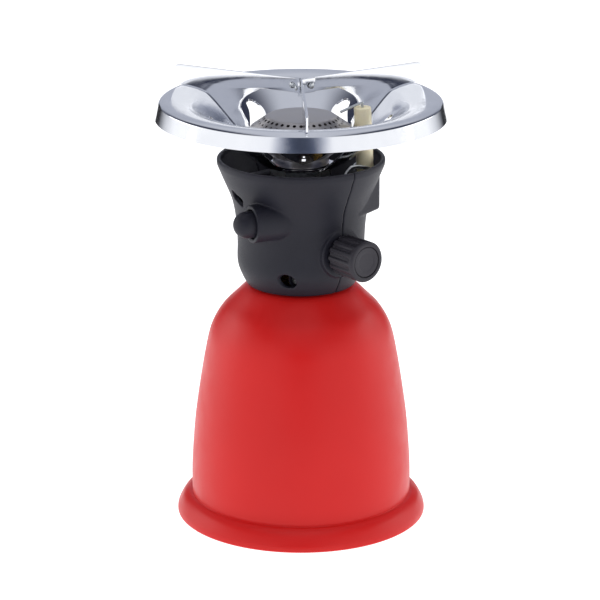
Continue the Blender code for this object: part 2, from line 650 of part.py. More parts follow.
# ---- igniter ----
def make_igniter():
    """Piezo igniter, its push button and return spring, along one axis."""
    rim, facing = igniter_frame()
    dome = arc((0, BUTTON_OUT - BUTTON_RADIUS), BUTTON_RADIUS, 90, 8, 5)
    flat = BUTTON_OUT - BUTTON_RADIUS
    button = turned("igniter_button", dome + [(BUTTON_RADIUS, flat - 0.0005), (BUTTON_RADIUS, -0.0075),
                                              (0.0047, -0.0075), (0.0047, flat - 0.0002),
                                              (0, flat - 0.0002)], "charcoal_plastic", 24)
    place(button, rim, facing)
    back = -(BUTTON_TRAVEL + 0.0085) - GAP
    tail = back - IGNITER_BODY_LENGTH
    body = turned("igniter_body", [(0, -0.0046), (0.0031, -0.0050), (0.0031, back),
                                   (IGNITER_BODY_RADIUS, back), (IGNITER_BODY_RADIUS, tail),
                                   (0.0024, tail), (0.0024, tail - 0.0030), (0, tail - 0.0030)],
                  "igniter_plastic", 24)
    place(body, rim, facing)
    turns = 5
    per_turn = 8
    low = back + 0.0006
    high = flat - 0.0008
    points = []
    for i in range(turns * per_turn + 1):
        angle = math.tau * i / per_turn
        points.append((0.0039 * math.cos(angle), 0.0039 * math.sin(angle),
                       low + (high - low) * i / (turns * per_turn)))
    place(wire("button_spring", points, 0.00028, "zinc_steel", 1), rim, facing)
    return rim, facing, tail - 0.0030


def make_electrode(rim, facing, tail):
    """Ceramic insulator with its spark wire, spring clip and the ignition lead."""
    foot, up, length = ceramic_frame()
    side = azimuth(BULGE_AZIMUTH + 90)
    out = azimuth(BULGE_AZIMUTH)
    ceramic = turned("ceramic_insulator", [
        (0, 0.0040), (0.0011, 0.0040), (0.0011, 0.0), (CERAMIC_RADIUS - 0.0006, 0.0),
        (CERAMIC_RADIUS, 0.0006), (CERAMIC_RADIUS, length - 0.0006), (CERAMIC_RADIUS - 0.0006, length),
        (0.0011, length), (0.0011, length - 0.0060), (0, length - 0.0060)], "ceramic", 28)
    place(ceramic, foot, up)
    top = foot + up * length
    cap_edge = Vector((0.0189, -0.0011, DISH_Z + CAP_TOP_Z + 0.0018))
    bend = top + up * 0.0022
    route = [top - up * 0.0055, top, bend - up * 0.0008, bend + (cap_edge - bend) * 0.06, cap_edge]
    wire("spark_electrode", route, ELECTRODE_RADIUS, "zinc_steel", 2)

    level = DISH_Z - 0.0014
    ring_at = foot + up * ((level - foot.z) / up.z)
    ring = CERAMIC_RADIUS + 0.0010
    points = [ring_at + (out * math.cos(math.radians(a)) + side * math.sin(math.radians(a))) * ring
              for a in range(75, 290, 15)]
    arm = Vector((0.0238, -0.0162, DISH_Z + 0.0030))
    hook = Vector((0.0190, -0.0205, DISH_Z - 0.0040))
    wire("electrode_clip", points + [arm, hook], 0.0006, "zinc_steel", 1)

    ferrule_length = 0.0040
    ferrule = turned("lead_ferrule", [(0, -ferrule_length), (0.0016, -ferrule_length), (0.0020, -0.0034),
                                      (0.0020, -GAP), (0, -GAP)], "brass", 14)
    place(ferrule, foot, up)
    start = rim + facing * (tail - GAP)
    end = foot - up * (ferrule_length + 2 * GAP)
    level = HOUSING_Z + BULGE_Z + BULGE_WALL + LEAD_RADIUS + 2 * GAP
    guide = [start, start - facing * 0.0030, Vector((0.0205, -0.0128, level)),
             Vector((0.0265, -0.0040, level)), Vector((end.x - 0.0016, end.y - 0.0010, level + 0.0002)),
             end - up * 0.0009]
    route = smooth([tuple(p) for p in guide], 4) + [tuple(end)]
    wire("ignition_lead", route, LEAD_RADIUS, "black_rubber", 2)


# ---- burner and dish ----
def make_burner():
    """Mixing tube, burner cup and the perforated cap, with the clamping nut."""
    low = HOUSING_Z + TUBE_Z
    bore = TUBE_RADIUS - TUBE_WALL
    top = DISH_Z + 0.0066
    tube = turned("burner_tube", [(bore, low), (TUBE_RADIUS, low), (TUBE_RADIUS, top), (bore, top)],
                  "zinc_steel", 32)
    drills = [rod(f"air_hole_{i}", AIR_HOLE_RADIUS, -0.020, 0.020, None, 16) for i in range(2)]
    for i, drill in enumerate(drills):
        place(drill, (0, 0, JET_Z + 0.0082), azimuth(90 * i + 45))
    cut(tube, *drills)
    nut = prism("dish_nut", hexagon(0.0250), DISH_Z - 0.0050, DISH_Z - GAP, "zinc_steel")
    cut(nut, rod("dish_nut_bore", TUBE_RADIUS + GAP, DISH_Z - 0.010, DISH_Z + 0.010, None, 32))
    floor = DISH_Z + DISH_WALL + GAP
    rim = DISH_Z + CUP_RIM_Z
    hub = TUBE_RADIUS + GAP
    outer = [(CUP_HUB_RADIUS, floor), (CUP_HUB_RADIUS, floor + 0.0036)] + smooth(
        [(CUP_HUB_RADIUS + 0.0012, floor + 0.0042), (CUP_RADIUS - 0.0020, floor + 0.0092),
         (CUP_RADIUS, floor + 0.0118)], 2) + [(CUP_RADIUS, rim)]
    inner = [(CUP_RADIUS - CUP_WALL, rim)] + smooth(
        [(CUP_RADIUS - CUP_WALL, floor + 0.0122), (CUP_RADIUS - 0.0030, floor + 0.0101),
         (CUP_HUB_RADIUS + 0.0004, floor + 0.0054)], 2)
    turned("burner_cup", [(hub, floor)] + outer + inner + [(hub, floor + 0.0054)], "burner_steel", 32)

    crown = DISH_Z + CAP_TOP_Z
    edge_radius = CUP_RADIUS + GAP + CAP_WALL
    edge_z = crown - 0.0057
    slope = (crown - edge_z) / (edge_radius - CAP_TOP_RADIUS)
    inside = CUP_RADIUS + GAP
    cap = turned("burner_cap", [
        (0, crown), (CAP_TOP_RADIUS - 0.0006, crown), (CAP_TOP_RADIUS + 0.0004, crown - 0.0004),
        (edge_radius - 0.0004, edge_z), (edge_radius, edge_z - 0.0008), (edge_radius, rim - 0.0030),
        (inside, rim - 0.0030), (inside, edge_z - 0.0012),
        (CAP_TOP_RADIUS - 0.0004, crown - CAP_WALL - 0.0004), (0, crown - CAP_WALL)],
        "burner_steel", CAP_HOLES)
    bm = bmesh.new()
    normal = Vector((slope, 0, 1)).normalized()
    for row, (size, radius) in enumerate(zip(CAP_HOLE_RADII, CAP_ROW_RADII)):
        height = crown - slope * (radius - CAP_TOP_RADIUS)
        for i in range(CAP_HOLES):
            turn = Matrix.Rotation(math.tau * (i + 0.5 * row) / CAP_HOLES, 4, "Z")
            aim = normal.to_track_quat("Z", "Y").to_matrix().to_4x4()
            bmesh.ops.create_cone(bm, cap_ends=True, segments=4, radius1=size, radius2=size, depth=0.004,
                                  matrix=turn @ Matrix.Translation((radius, 0, height)) @ aim)
    cut(cap, finish("flame_holes", bm, None))


def dish_outline():
    """Upper surface of the dish from its floor to the foot of the outer skirt."""
    floor = DISH_Z + DISH_WALL
    edge = DISH_Z + DISH_EDGE_Z
    bowl = smooth([(DISH_FLOOR_RADIUS, floor), (DISH_FLOOR_RADIUS + 0.0054, floor + 0.0022),
                   (DISH_LOW_RADIUS, floor + 0.0092), (DISH_SLOPE_RADIUS, edge - 0.0038),
                   (DISH_MOUTH_RADIUS, edge - 0.0003), (DISH_BRIM_RADIUS, edge + DISH_BRIM_RISE),
                   (DISH_RADIUS - DISH_EDGE_INSET - 0.0012, edge + 0.0005)], 2)
    corner = [(DISH_RADIUS - DISH_EDGE_INSET, edge)]
    return bowl, corner, (DISH_RADIUS, edge - DISH_SKIRT)


def window_outline():
    """Half-lobed air window below one pot support: a tongue stands in its middle."""
    half = smooth([(0.0281, 0.0), (0.0316, 0.0070), (0.0361, 0.0146), (0.0396, 0.0176),
                   (0.0383, 0.0214), (0.0319, 0.0222), (0.0250, 0.0160), (0.0190, 0.0103),
                   (0.0160, 0.0078), (0.0149, 0.0040), (0.0149, 0.0)], 2)
    return half + [(x, -y) for x, y in half[-2:0:-1]]


def make_dish():
    """Pressed reflector dish with three air windows, slots and the insulator's hole."""
    bowl, corner, skirt = dish_outline()
    top = [(TUBE_RADIUS + GAP, DISH_Z + DISH_WALL)] + bowl + corner + [skirt]
    under = offset(top, -DISH_WALL)
    under[0] = (TUBE_RADIUS + GAP, DISH_Z)
    under[-1] = (skirt[0] - DISH_WALL, skirt[1])
    dish = turned("reflector_dish", top + under[::-1], "chrome_steel")
    openings = []
    for i, angle in enumerate(SUPPORT_AZIMUTHS):
        window = prism(f"window_{i}", window_outline(), DISH_Z - 0.003, DISH_Z + 0.032, None)
        window.rotation_euler.z = math.radians(angle)
        slot = block(f"leg_slot_{i}", (SUPPORT_TAB[0] - 0.0004, -0.0009, DISH_Z),
                     (SUPPORT_TAB[1] + 0.0004, 0.0009, DISH_Z + 0.020))
        slot.rotation_euler.z = math.radians(angle)
        openings += [window, slot]
    foot, up, length = ceramic_frame()
    drill = rod("insulator_hole", CERAMIC_RADIUS + 0.0007, 0.018, length - 0.003, None, 24)
    cut(dish, place(drill, foot, up), *openings)


def make_supports():
    """Three polished blades, riveted to each other at the centre."""
    top = DISH_Z + SUPPORT_TOP_Z
    bar = top - SUPPORT_BAR
    bowl, corner, _ = dish_outline()
    clear = [p for p in offset(bowl, GAP + 0.0001) if p[0] > SUPPORT_LEG_RADIUS + 0.0004]
    clear = [p for p in clear if p[0] < SUPPORT_RADIUS - 0.0035]
    tip = SUPPORT_RADIUS
    brim = max(z for _, z in clear)
    inner = smooth([(SUPPORT_LEG_RADIUS, clear[0][1] + 0.0004), (SUPPORT_LEG_RADIUS, clear[0][1] + 0.0060),
                    (SUPPORT_ARCH_RADIUS - 0.0010, bar - 0.0131), (SUPPORT_ARCH_RADIUS, bar - 0.0092),
                    (SUPPORT_ARCH_RADIUS - 0.0021, bar - 0.0055), (0.0262, bar - 0.0025),
                    (0.0213, bar)], 3)
    outline = ([(0.0013, top)] + [(0.0013, bar)] + inner[::-1] + clear
               + [(tip - 0.0030, brim + 0.0002)] + arc((tip - 0.0016, brim + 0.0018), 0.0016, -90, 0, 3)[1:]
               + arc((tip - 0.0022, top - 0.0022), 0.0022, 0, 90, 3))
    half = SUPPORT_THICKNESS / 2
    shift = SUPPORT_THICKNESS + GAP
    mid = (top + bar) / 2
    rivets = []
    for i, angle in enumerate(SUPPORT_AZIMUTHS):
        name = f"pot_support_{i + 1}"
        blade = prism(name, outline, -half, half, "chrome_steel", 20.0)
        blade.rotation_euler = (math.radians(90.0), 0.0, math.radians(angle))
        tab = block(f"leg_tab_{i}", (SUPPORT_TAB[0], -half, DISH_Z + SUPPORT_TAB_Z[0]),
                    (SUPPORT_TAB[1], half, DISH_Z + SUPPORT_TAB_Z[1]))
        tab.rotation_euler.z = math.radians(angle)
        flange = block(f"flange_{i}", (-0.0012, -shift - half, bar), (SUPPORT_FLANGE, half - shift, top))
        flange.rotation_euler.z = math.radians(angle + 120.0)
        web = block(f"web_{i}", (0.0009, -half, bar), (0.0030, half, top))
        web.rotation_euler.z = math.radians(angle)
        fuse(blade, tab, web, flange)
        holes = []
        for k, own in enumerate((angle, angle + 120.0)):
            hole = rod(f"rivet_hole_{i}_{k}", RIVET_RADIUS + 0.0002, -0.004, 0.004, None, 12)
            holes.append(place(hole, azimuth(own) * RIVET_OFFSET + Vector((0, 0, mid)), azimuth(own - 90.0)))
        cut(blade, *holes)
        rivets.append((azimuth(angle) * RIVET_OFFSET + Vector((0, 0, mid)), azimuth(angle - 90.0)))
    thick = half + shift + half
    outline = [(0, thick + 0.0009), (0.0010, thick + 0.0008), (0.0016, thick + 0.0001),
               (RIVET_RADIUS, thick + 0.0001), (RIVET_RADIUS, -half - 0.0001), (0.0016, -half - 0.0001),
               (0.0010, -half - 0.0008), (0, -half - 0.0009)]
    for i, (spot, normal) in enumerate(rivets):
        place(turned(f"support_rivet_{i + 1}", outline, "zinc_steel", 12), spot, normal)


def main():
    for item in list(bpy.data.objects):
        bpy.data.objects.remove(item, do_unlink=True)
    make_base()
    make_latches()
    make_collar()
    make_valve()
    make_spindle()
    make_housing("housing_front", -1.0)
    make_housing("housing_back", 1.0)
    make_housing_screws()
    rim, facing, tail = make_igniter()
    make_electrode(rim, facing, tail)
    make_burner()
    make_dish()
    make_supports()


main()
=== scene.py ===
"""Camping stove: the finished looks of each visible piece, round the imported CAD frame.

Frame: metres, +Z up, origin at the centre of the foot.  The red bell holds the gas
cartridge; the charcoal housing carries the knob and the igniter; the chromed dish and
its three blades stand on top, round the burner.
"""
import json
import math

import bmesh
import bpy
from mathutils import Matrix, Vector

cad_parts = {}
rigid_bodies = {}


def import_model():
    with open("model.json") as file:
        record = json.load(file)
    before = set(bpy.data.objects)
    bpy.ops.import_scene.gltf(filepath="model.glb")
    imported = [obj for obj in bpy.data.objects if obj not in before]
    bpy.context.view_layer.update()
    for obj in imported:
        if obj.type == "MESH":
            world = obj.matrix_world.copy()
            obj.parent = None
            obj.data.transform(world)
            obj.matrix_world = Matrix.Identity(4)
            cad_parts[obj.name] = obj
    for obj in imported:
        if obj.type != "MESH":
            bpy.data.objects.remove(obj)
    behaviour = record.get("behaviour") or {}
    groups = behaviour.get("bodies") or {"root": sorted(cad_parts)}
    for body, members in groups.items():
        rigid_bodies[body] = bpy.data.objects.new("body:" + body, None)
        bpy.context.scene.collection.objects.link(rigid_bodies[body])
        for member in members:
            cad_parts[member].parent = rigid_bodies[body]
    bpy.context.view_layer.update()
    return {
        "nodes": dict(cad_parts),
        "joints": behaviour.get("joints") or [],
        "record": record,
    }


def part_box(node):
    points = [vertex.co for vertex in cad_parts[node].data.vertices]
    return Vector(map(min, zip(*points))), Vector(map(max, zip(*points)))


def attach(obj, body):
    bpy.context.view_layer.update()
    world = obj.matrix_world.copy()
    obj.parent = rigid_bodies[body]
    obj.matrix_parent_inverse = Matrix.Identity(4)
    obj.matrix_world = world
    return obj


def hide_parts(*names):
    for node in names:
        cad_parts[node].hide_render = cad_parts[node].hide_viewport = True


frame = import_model()
record = frame["record"]
BODY_OF = {node: body for body, nodes in record["behaviour"]["bodies"].items() for node in nodes}
SLOT_OF = {entry["node"]: entry["material_slot"] for entry in record["subparts"]}

MM = 0.001
LATHE_STEPS = 192
SMALL_STEPS = 64

# ---- levels and axes, read from the frame ----
CROWN_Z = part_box("base_shell")[1].z
HOUSING_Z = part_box("housing_front")[0].z
DISH_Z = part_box("reflector_dish")[0].z
SUPPORT_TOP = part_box("pot_support_1")[1].z
JOINT = {joint["name"]: joint for joint in frame["joints"]}
KNOB_OUT = Vector(JOINT["knob_turn"]["axis"]).normalized()
KNOB_AXIS_AT = Vector(JOINT["knob_turn"]["pos_m"])
BUTTON_OUT = -Vector(JOINT["button_press"]["axis"]).normalized()

# ---- sizes of the real pieces ----
BELL_WALL = 2.0 * MM
CROWN_WALL = 4.5 * MM
BELL_RADIUS = 54.0 * MM
FOOT_RADIUS = 61.3 * MM
FOOT_HEIGHT = 10.6 * MM
SHOULDER_RADIUS = 46.2 * MM
SHOULDER_DROP = 31.1 * MM
CROWN_RADIUS = 24.0 * MM
COLLAR_HOLE = 16.5 * MM
LATCH_CIRCLE = 53.5 * MM
LATCH_AZIMUTHS = (90.0, 210.0, 330.0)

HOUSING_HEIGHT = 62.7 * MM
HOUSING_WALL = 2.2 * MM
HOUSING_FOOT = 26.6 * MM
HOUSING_BODY = 30.8 * MM
HOUSING_LIP = 40.6 * MM
SEAM_AZIMUTH = math.degrees(math.atan2(KNOB_OUT.y, KNOB_OUT.x))
SEAM_GAP = 0.12 * MM
KNOB_START = 32.6 * MM
KNOB_LENGTH = 17.4 * MM
KNOB_RADIUS = 10.0 * MM
KNOB_FLUTES = 14
KNOB_BOSS_RADIUS = 11.8 * MM
IGNITER_RIM_RADIUS = 9.1 * MM
BUTTON_RADIUS = 6.4 * MM
BUTTON_PROUD = 8.6 * MM
RIM_BEHIND = 0.6 * MM            # igniter's rim, from the middle of its button's box
BULGE_AZIMUTH = 6.0
BULGE_RADIUS = 37.8 * MM
BULGE_HALF_WIDTH = 9.5 * MM
BULGE_CORNER = 5.0 * MM
BULGE_TOUCH_RADIUS = HOUSING_BODY + 1.8 * MM
BULGE_WALL = 1.6 * MM
BULGE_LOW = 36.3 * MM
BULGE_TOP_INSET = 6.6 * MM
BULGE_ROOT = 28.5 * MM
SLOT_AZIMUTH = -151.0
SLOT_TILT = -24.0
SLOT_HEIGHT = 46.2 * MM
INSULATOR_RADIUS = 4.15 * MM
INSULATOR_LOW = 31.6 * MM
INSULATOR_HIGH = 29.6 * MM
INSULATOR_FOOT_HEIGHT = 46.2 * MM
INSULATOR_TOP_HEIGHT = 86.2 * MM

DISH_RADIUS = 70.0 * MM
DISH_WALL = 0.8 * MM
DISH_EDGE_HEIGHT = 31.2 * MM
DISH_SKIRT = 7.7 * MM
TUBE_RADIUS = 9.2 * MM
SUPPORT_AZIMUTHS = (-87.7, 32.3, 152.3)
SUPPORT_RADIUS = 69.7 * MM
SUPPORT_BAR = 7.0 * MM
BLADE = 1.0 * MM
RIVET_OFFSET = 4.4 * MM
CUP_RADIUS = 23.3 * MM
CUP_RIM_HEIGHT = 16.9 * MM
CAP_RADIUS = 24.5 * MM
CAP_TOP_HEIGHT = 24.3 * MM
CAP_FLAT_RADIUS = 16.2 * MM
CAP_HOLES = 36
CAP_ROWS = ((0.85 * MM, 17.9 * MM), (0.62 * MM, 20.2 * MM))


# ---- outlines ----
def azimuth(degrees):
    """Unit vector on the ground plane."""
    return Vector((math.cos(math.radians(degrees)), math.sin(math.radians(degrees)), 0.0))


def arc(centre, radius, start, end, steps):
    """Points round a centre between two angles in degrees, both ends included."""
    angles = [math.radians(start + (end - start) * i / steps) for i in range(steps + 1)]
    return [(centre[0] + radius * math.cos(a), centre[1] + radius * math.sin(a)) for a in angles]


def smooth(points, steps):
    """A Catmull-Rom curve through the points, with that many steps between each two."""
    ends = [points[0]] + list(points) + [points[-1]]
    curve = [tuple(points[0])]
    for i in range(1, len(ends) - 2):
        a, b, c, d = (Vector(p) for p in ends[i - 1:i + 3])
        for k in range(1, steps + 1):
            t = k / steps
            bend = t * (2 * a - 5 * b + 4 * c - d + t * (3 * (b - c) + d - a))
            curve.append(tuple(b + 0.5 * t * (c - a + bend)))
    return curve


def offset(points, distance):
    """An open outline moved sideways, to the left of its direction when positive."""
    moved = []
    for i, point in enumerate(points):
        before = Vector(points[max(i - 1, 0)])
        after = Vector(points[min(i + 1, len(points) - 1)])
        along = (after - before).normalized()
        moved.append((point[0] - along.y * distance, point[1] + along.x * distance))
    return moved


def soften(points, radius, steps):
    """Round an open outline's corners with short arcs of about that radius."""
    rounded = []
    for i, point in enumerate(points):
        if i in (0, len(points) - 1):
            rounded.append(tuple(point))
            continue
        here = Vector(point)
        back = Vector(points[i - 1]) - here
        ahead = Vector(points[i + 1]) - here
        reach = min(radius, 0.45 * back.length, 0.45 * ahead.length)
        turn = back.angle(ahead, math.pi)
        if turn > math.radians(160.0) or reach < 1e-6:
            rounded.append(tuple(point))
            continue
        start = here + back.normalized() * reach
        end = here + ahead.normalized() * reach
        for k in range(steps + 1):
            t = k / steps
            rounded.append(tuple((1 - t) ** 2 * start + 2 * t * (1 - t) * here + t ** 2 * end))
    return rounded


# ---- solids ----
def from_bmesh(name, bm, sharp=35.0):
    """Turn a bmesh into an object, smooth over gentle edges."""
    bmesh.ops.remove_doubles(bm, verts=bm.verts, dist=1e-7)
    bmesh.ops.recalc_face_normals(bm, faces=bm.faces)
    mesh = bpy.data.meshes.new(name)
    bm.to_mesh(mesh)
    bm.free()
    mesh.shade_smooth()
    mesh.set_sharp_from_angle(angle=math.radians(sharp))
    made = bpy.data.objects.new(name, mesh)
    bpy.context.scene.collection.objects.link(made)
    return made


def turned(name, outline, steps=LATHE_STEPS, sharp=35.0):
    """Spin an outline of (radius, z) points about Z; it closes itself off the axis."""
    bm = bmesh.new()
    verts = [bm.verts.new((r, 0.0, z)) for r, z in outline]
    pairs = list(zip(verts, verts[1:]))
    if outline[0][0] > 1e-9 or outline[-1][0] > 1e-9:
        pairs.append((verts[-1], verts[0]))
    edges = [bm.edges.new(pair) for pair in pairs]
    bmesh.ops.spin(bm, geom=verts + edges, cent=(0, 0, 0), axis=(0, 0, 1),
                   angle=math.tau, steps=steps, use_merge=True)
    return from_bmesh(name, bm, sharp)


def prism(name, outline, low, high, bevel=0.0, all_round=False):
    """Extrude a closed (x, y) outline from one height to another; bevel eases its rims, or every
    edge when all_round is set."""
    bm = bmesh.new()
    face = bm.faces.new([bm.verts.new((x, y, low)) for x, y in outline])
    lifted = bmesh.ops.extrude_face_region(bm, geom=[face])["geom"]
    tops = [item for item in lifted if isinstance(item, bmesh.types.BMVert)]
    bmesh.ops.translate(bm, verts=tops, vec=(0, 0, high - low))
    if bevel:
        eased = [e for e in bm.edges if all_round or abs(e.verts[0].co.z - e.verts[1].co.z) < 1e-9]
        bmesh.ops.bevel(bm, geom=eased, offset=bevel, segments=4 if all_round else 2, affect="EDGES",
                        profile=0.5)
    return from_bmesh(name, bm)


def rod(name, radius, low, high, steps=SMALL_STEPS):
    """A solid cylinder along Z."""
    return turned(name, [(0, low), (radius, low), (radius, high), (0, high)], steps)


def block(name, corner, opposite, bevel=0.0):
    """A box between two corners, with its edges rounded when bevel is set."""
    bm = bmesh.new()
    size = Vector(opposite) - Vector(corner)
    centre = (Vector(opposite) + Vector(corner)) / 2
    bmesh.ops.create_cube(bm, size=1.0, matrix=Matrix.Translation(centre) @ Matrix.Diagonal((*size, 1.0)))
    if bevel:
        bmesh.ops.bevel(bm, geom=bm.edges, offset=bevel, segments=4, affect="EDGES", profile=0.5)
    return from_bmesh(name, bm)


def wire(name, points, radius, sides=6):
    """A round wire through the points, with closed ends."""
    curve = bpy.data.curves.new(name, "CURVE")
    curve.dimensions = "3D"
    curve.bevel_depth = radius
    curve.bevel_resolution = sides
    curve.use_fill_caps = True
    spline = curve.splines.new("POLY")
    spline.points.add(len(points) - 1)
    for spot, point in zip(spline.points, points):
        spot.co = (*point, 1.0)
    made = bpy.data.objects.new(name, curve)
    bpy.context.scene.collection.objects.link(made)
    return applied(made)


def place(obj, location, direction=None):
    """Put an object at a point, with its local Z along a direction."""
    obj.location = location
    if direction is not None:
        obj.rotation_euler = Vector(direction).to_track_quat("Z", "Y").to_euler()
    return obj


def applied(obj, sharp=35.0):
    """Replace an object by the mesh that its modifiers or bevel make."""
    bpy.context.view_layer.update()
    mesh = bpy.data.meshes.new_from_object(obj.evaluated_get(bpy.context.evaluated_depsgraph_get()))
    mesh.shade_smooth()
    mesh.set_sharp_from_angle(angle=math.radians(sharp))
    made = bpy.data.objects.new(obj.name, mesh)
    made.matrix_world = obj.matrix_world
    name = obj.name
    bpy.data.objects.remove(obj, do_unlink=True)
    made.name = name
    bpy.context.scene.collection.objects.link(made)
    return made


def combined(target, operation, tools, sharp=35.0):
    """Join the tools to the target, or take them away, and keep only the result."""
    group = bpy.data.collections.new("tools")
    bpy.context.scene.collection.children.link(group)
    for tool in tools:
        bpy.context.scene.collection.objects.unlink(tool)
        group.objects.link(tool)
    step = target.modifiers.new("shape", "BOOLEAN")
    step.operation = operation
    step.solver = "EXACT"
    step.operand_type = "COLLECTION"
    step.collection = group
    made = applied(target, sharp)
    for tool in list(group.objects):
        bpy.data.objects.remove(tool, do_unlink=True)
    bpy.data.collections.remove(group)
    return made


def moulded(obj, voxel, rounds):
    """Give a hard-edged shape the eased edges and root fillets of a moulding."""
    remesh = obj.modifiers.new("skin", "REMESH")
    remesh.mode = "VOXEL"
    remesh.voxel_size = voxel
    remesh.use_smooth_shade = True
    ease = obj.modifiers.new("ease", "SMOOTH")
    ease.factor = 0.5
    ease.iterations = rounds
    return applied(obj, 180.0)


def stands_for(obj, *nodes, finish=None):
    """The piece takes the place, the motion and the finish slot of these CAD nodes."""
    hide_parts(*nodes)
    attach(obj, BODY_OF[nodes[0]])
    obj.data.materials.clear()
    obj.data.materials.append(finish or FINISHES[SLOT_OF[nodes[0]]])
    return obj


# ---- finishes ----
def linear(hex_colour):
    """An sRGB hex colour as linear RGBA."""
    channels = [int(hex_colour[i:i + 2], 16) / 255.0 for i in (1, 3, 5)]
    return (*[c / 12.92 if c <= 0.04045 else ((c + 0.055) / 1.055) ** 2.4 for c in channels], 1.0)


def add(tree, kind, inputs=None, **settings):
    """Add a node with its settings; an input takes a value or another node's output."""
    made = tree.nodes.new(kind)
    for name, value in settings.items():
        setattr(made, name, value)
    for socket, value in (inputs or {}).items():
        if isinstance(value, bpy.types.NodeSocket):
            tree.links.new(value, made.inputs[socket])
        else:
            made.inputs[socket].default_value = value
    return made


def started(name, roughness, metallic=0.0):
    """A new material: its tree, its shader and the piece's own coordinates."""
    made = bpy.data.materials.new(name)
    made.use_nodes = True
    tree = made.node_tree
    shader = tree.nodes["Principled BSDF"]
    shader.inputs["Roughness"].default_value = roughness
    shader.inputs["Metallic"].default_value = metallic
    place_on = add(tree, "ShaderNodeTexCoord").outputs["Object"]
    return made, tree, shader, place_on


def feed(tree, shader, socket, output):
    """Link an output to one of the shader's inputs."""
    tree.links.new(output, shader.inputs[socket])


def red_polypropylene():
    """Injection-moulded polypropylene: even red, satin skin with a faint orange peel and
    soft flow marks from the gate in the crown."""
    made, tree, shader, at = started("moulded_red_polypropylene", 0.36)
    shader.inputs["IOR"].default_value = 1.49
    shader.inputs["Specular IOR Level"].default_value = 0.25
    shader.inputs["Subsurface Weight"].default_value = 0.04
    shader.inputs["Subsurface Radius"].default_value = (3.0 * MM, 0.6 * MM, 0.4 * MM)
    flow = add(tree, "ShaderNodeTexNoise", {"Vector": at, "Scale": 1 / (45 * MM), "Detail": 3.0})
    colour = add(tree, "ShaderNodeMix", {0: flow.outputs["Fac"], 6: linear("#C41816"),
                                          7: linear("#D01C1A")}, data_type="RGBA")
    feed(tree, shader, "Base Color", colour.outputs[2])
    skin = add(tree, "ShaderNodeTexNoise", {"Vector": at, "Scale": 1 / (9 * MM), "Detail": 4.0})
    gloss = add(tree, "ShaderNodeMapRange", {"Value": skin.outputs["Fac"], "From Min": 0.3, "From Max": 0.7,
                                             "To Min": 0.32, "To Max": 0.42})
    feed(tree, shader, "Roughness", gloss.outputs["Result"])
    # orange peel of about 1 mm, drawn a little coarse so that it shows
    peel = add(tree, "ShaderNodeTexNoise", {"Vector": at, "Scale": 1 / (1.4 * MM), "Detail": 2.0})
    bump = add(tree, "ShaderNodeBump", {"Height": peel.outputs["Fac"], "Strength": 0.35,
                                        "Distance": 0.03 * MM})
    feed(tree, shader, "Normal", bump.outputs["Normal"])
    return made


def charcoal_nylon(name, darker, paler):
    """Glass-filled nylon from a spark-eroded mould: blue-grey charcoal with a fine matt
    grain, a little paler where it is handled."""
    made, tree, shader, at = started(name, 0.5)
    shader.inputs["IOR"].default_value = 1.53
    shader.inputs["Specular IOR Level"].default_value = 0.22
    shade = add(tree, "ShaderNodeTexNoise", {"Vector": at, "Scale": 1 / (14 * MM), "Detail": 5.0})
    colour = add(tree, "ShaderNodeMix", {0: shade.outputs["Fac"], 6: linear(darker), 7: linear(paler)},
                 data_type="RGBA")
    feed(tree, shader, "Base Color", colour.outputs[2])
    grain = add(tree, "ShaderNodeTexNoise", {"Vector": at, "Scale": 1 / (0.5 * MM), "Detail": 3.0,
                                             "Roughness": 0.6})
    gloss = add(tree, "ShaderNodeMapRange", {"Value": grain.outputs["Fac"], "From Min": 0.3, "From Max": 0.7,
                                             "To Min": 0.42, "To Max": 0.58})
    feed(tree, shader, "Roughness", gloss.outputs["Result"])
    bump = add(tree, "ShaderNodeBump", {"Height": grain.outputs["Fac"], "Strength": 0.5,
                                        "Distance": 0.03 * MM})
    feed(tree, shader, "Normal", bump.outputs["Normal"])
    return made


def chromed_steel():
    """Pressed sheet steel, polished and chromed: a mirror with the slow waves of the
    press and a faint haze of wiping marks."""
    made, tree, shader, at = started("chromed_pressed_steel", 0.07, 1.0)
    haze = add(tree, "ShaderNodeTexNoise", {"Vector": at, "Scale": 1 / (11 * MM), "Detail": 6.0,
                                            "Roughness": 0.65})
    colour = add(tree, "ShaderNodeMix", {0: haze.outputs["Fac"], 6: linear("#DEE0E5"),
                                          7: linear("#EFF0F3")}, data_type="RGBA")
    feed(tree, shader, "Base Color", colour.outputs[2])
    gloss = add(tree, "ShaderNodeMapRange", {"Value": haze.outputs["Fac"], "From Min": 0.35, "From Max": 0.7,
                                             "To Min": 0.08, "To Max": 0.19})
    feed(tree, shader, "Roughness", gloss.outputs["Result"])
    wave = add(tree, "ShaderNodeTexNoise", {"Vector": at, "Scale": 1 / (18 * MM), "Detail": 1.0})
    slow = add(tree, "ShaderNodeBump", {"Height": wave.outputs["Fac"], "Strength": 0.25,
                                        "Distance": 0.5 * MM})
    scratch = add(tree, "ShaderNodeTexNoise", {"Vector": at, "Scale": 1 / (0.7 * MM), "Detail": 2.0})
    fine = add(tree, "ShaderNodeBump", {"Height": scratch.outputs["Fac"], "Strength": 0.08,
                                        "Distance": 0.01 * MM, "Normal": slow.outputs["Normal"]})
    feed(tree, shader, "Normal", fine.outputs["Normal"])
    return made


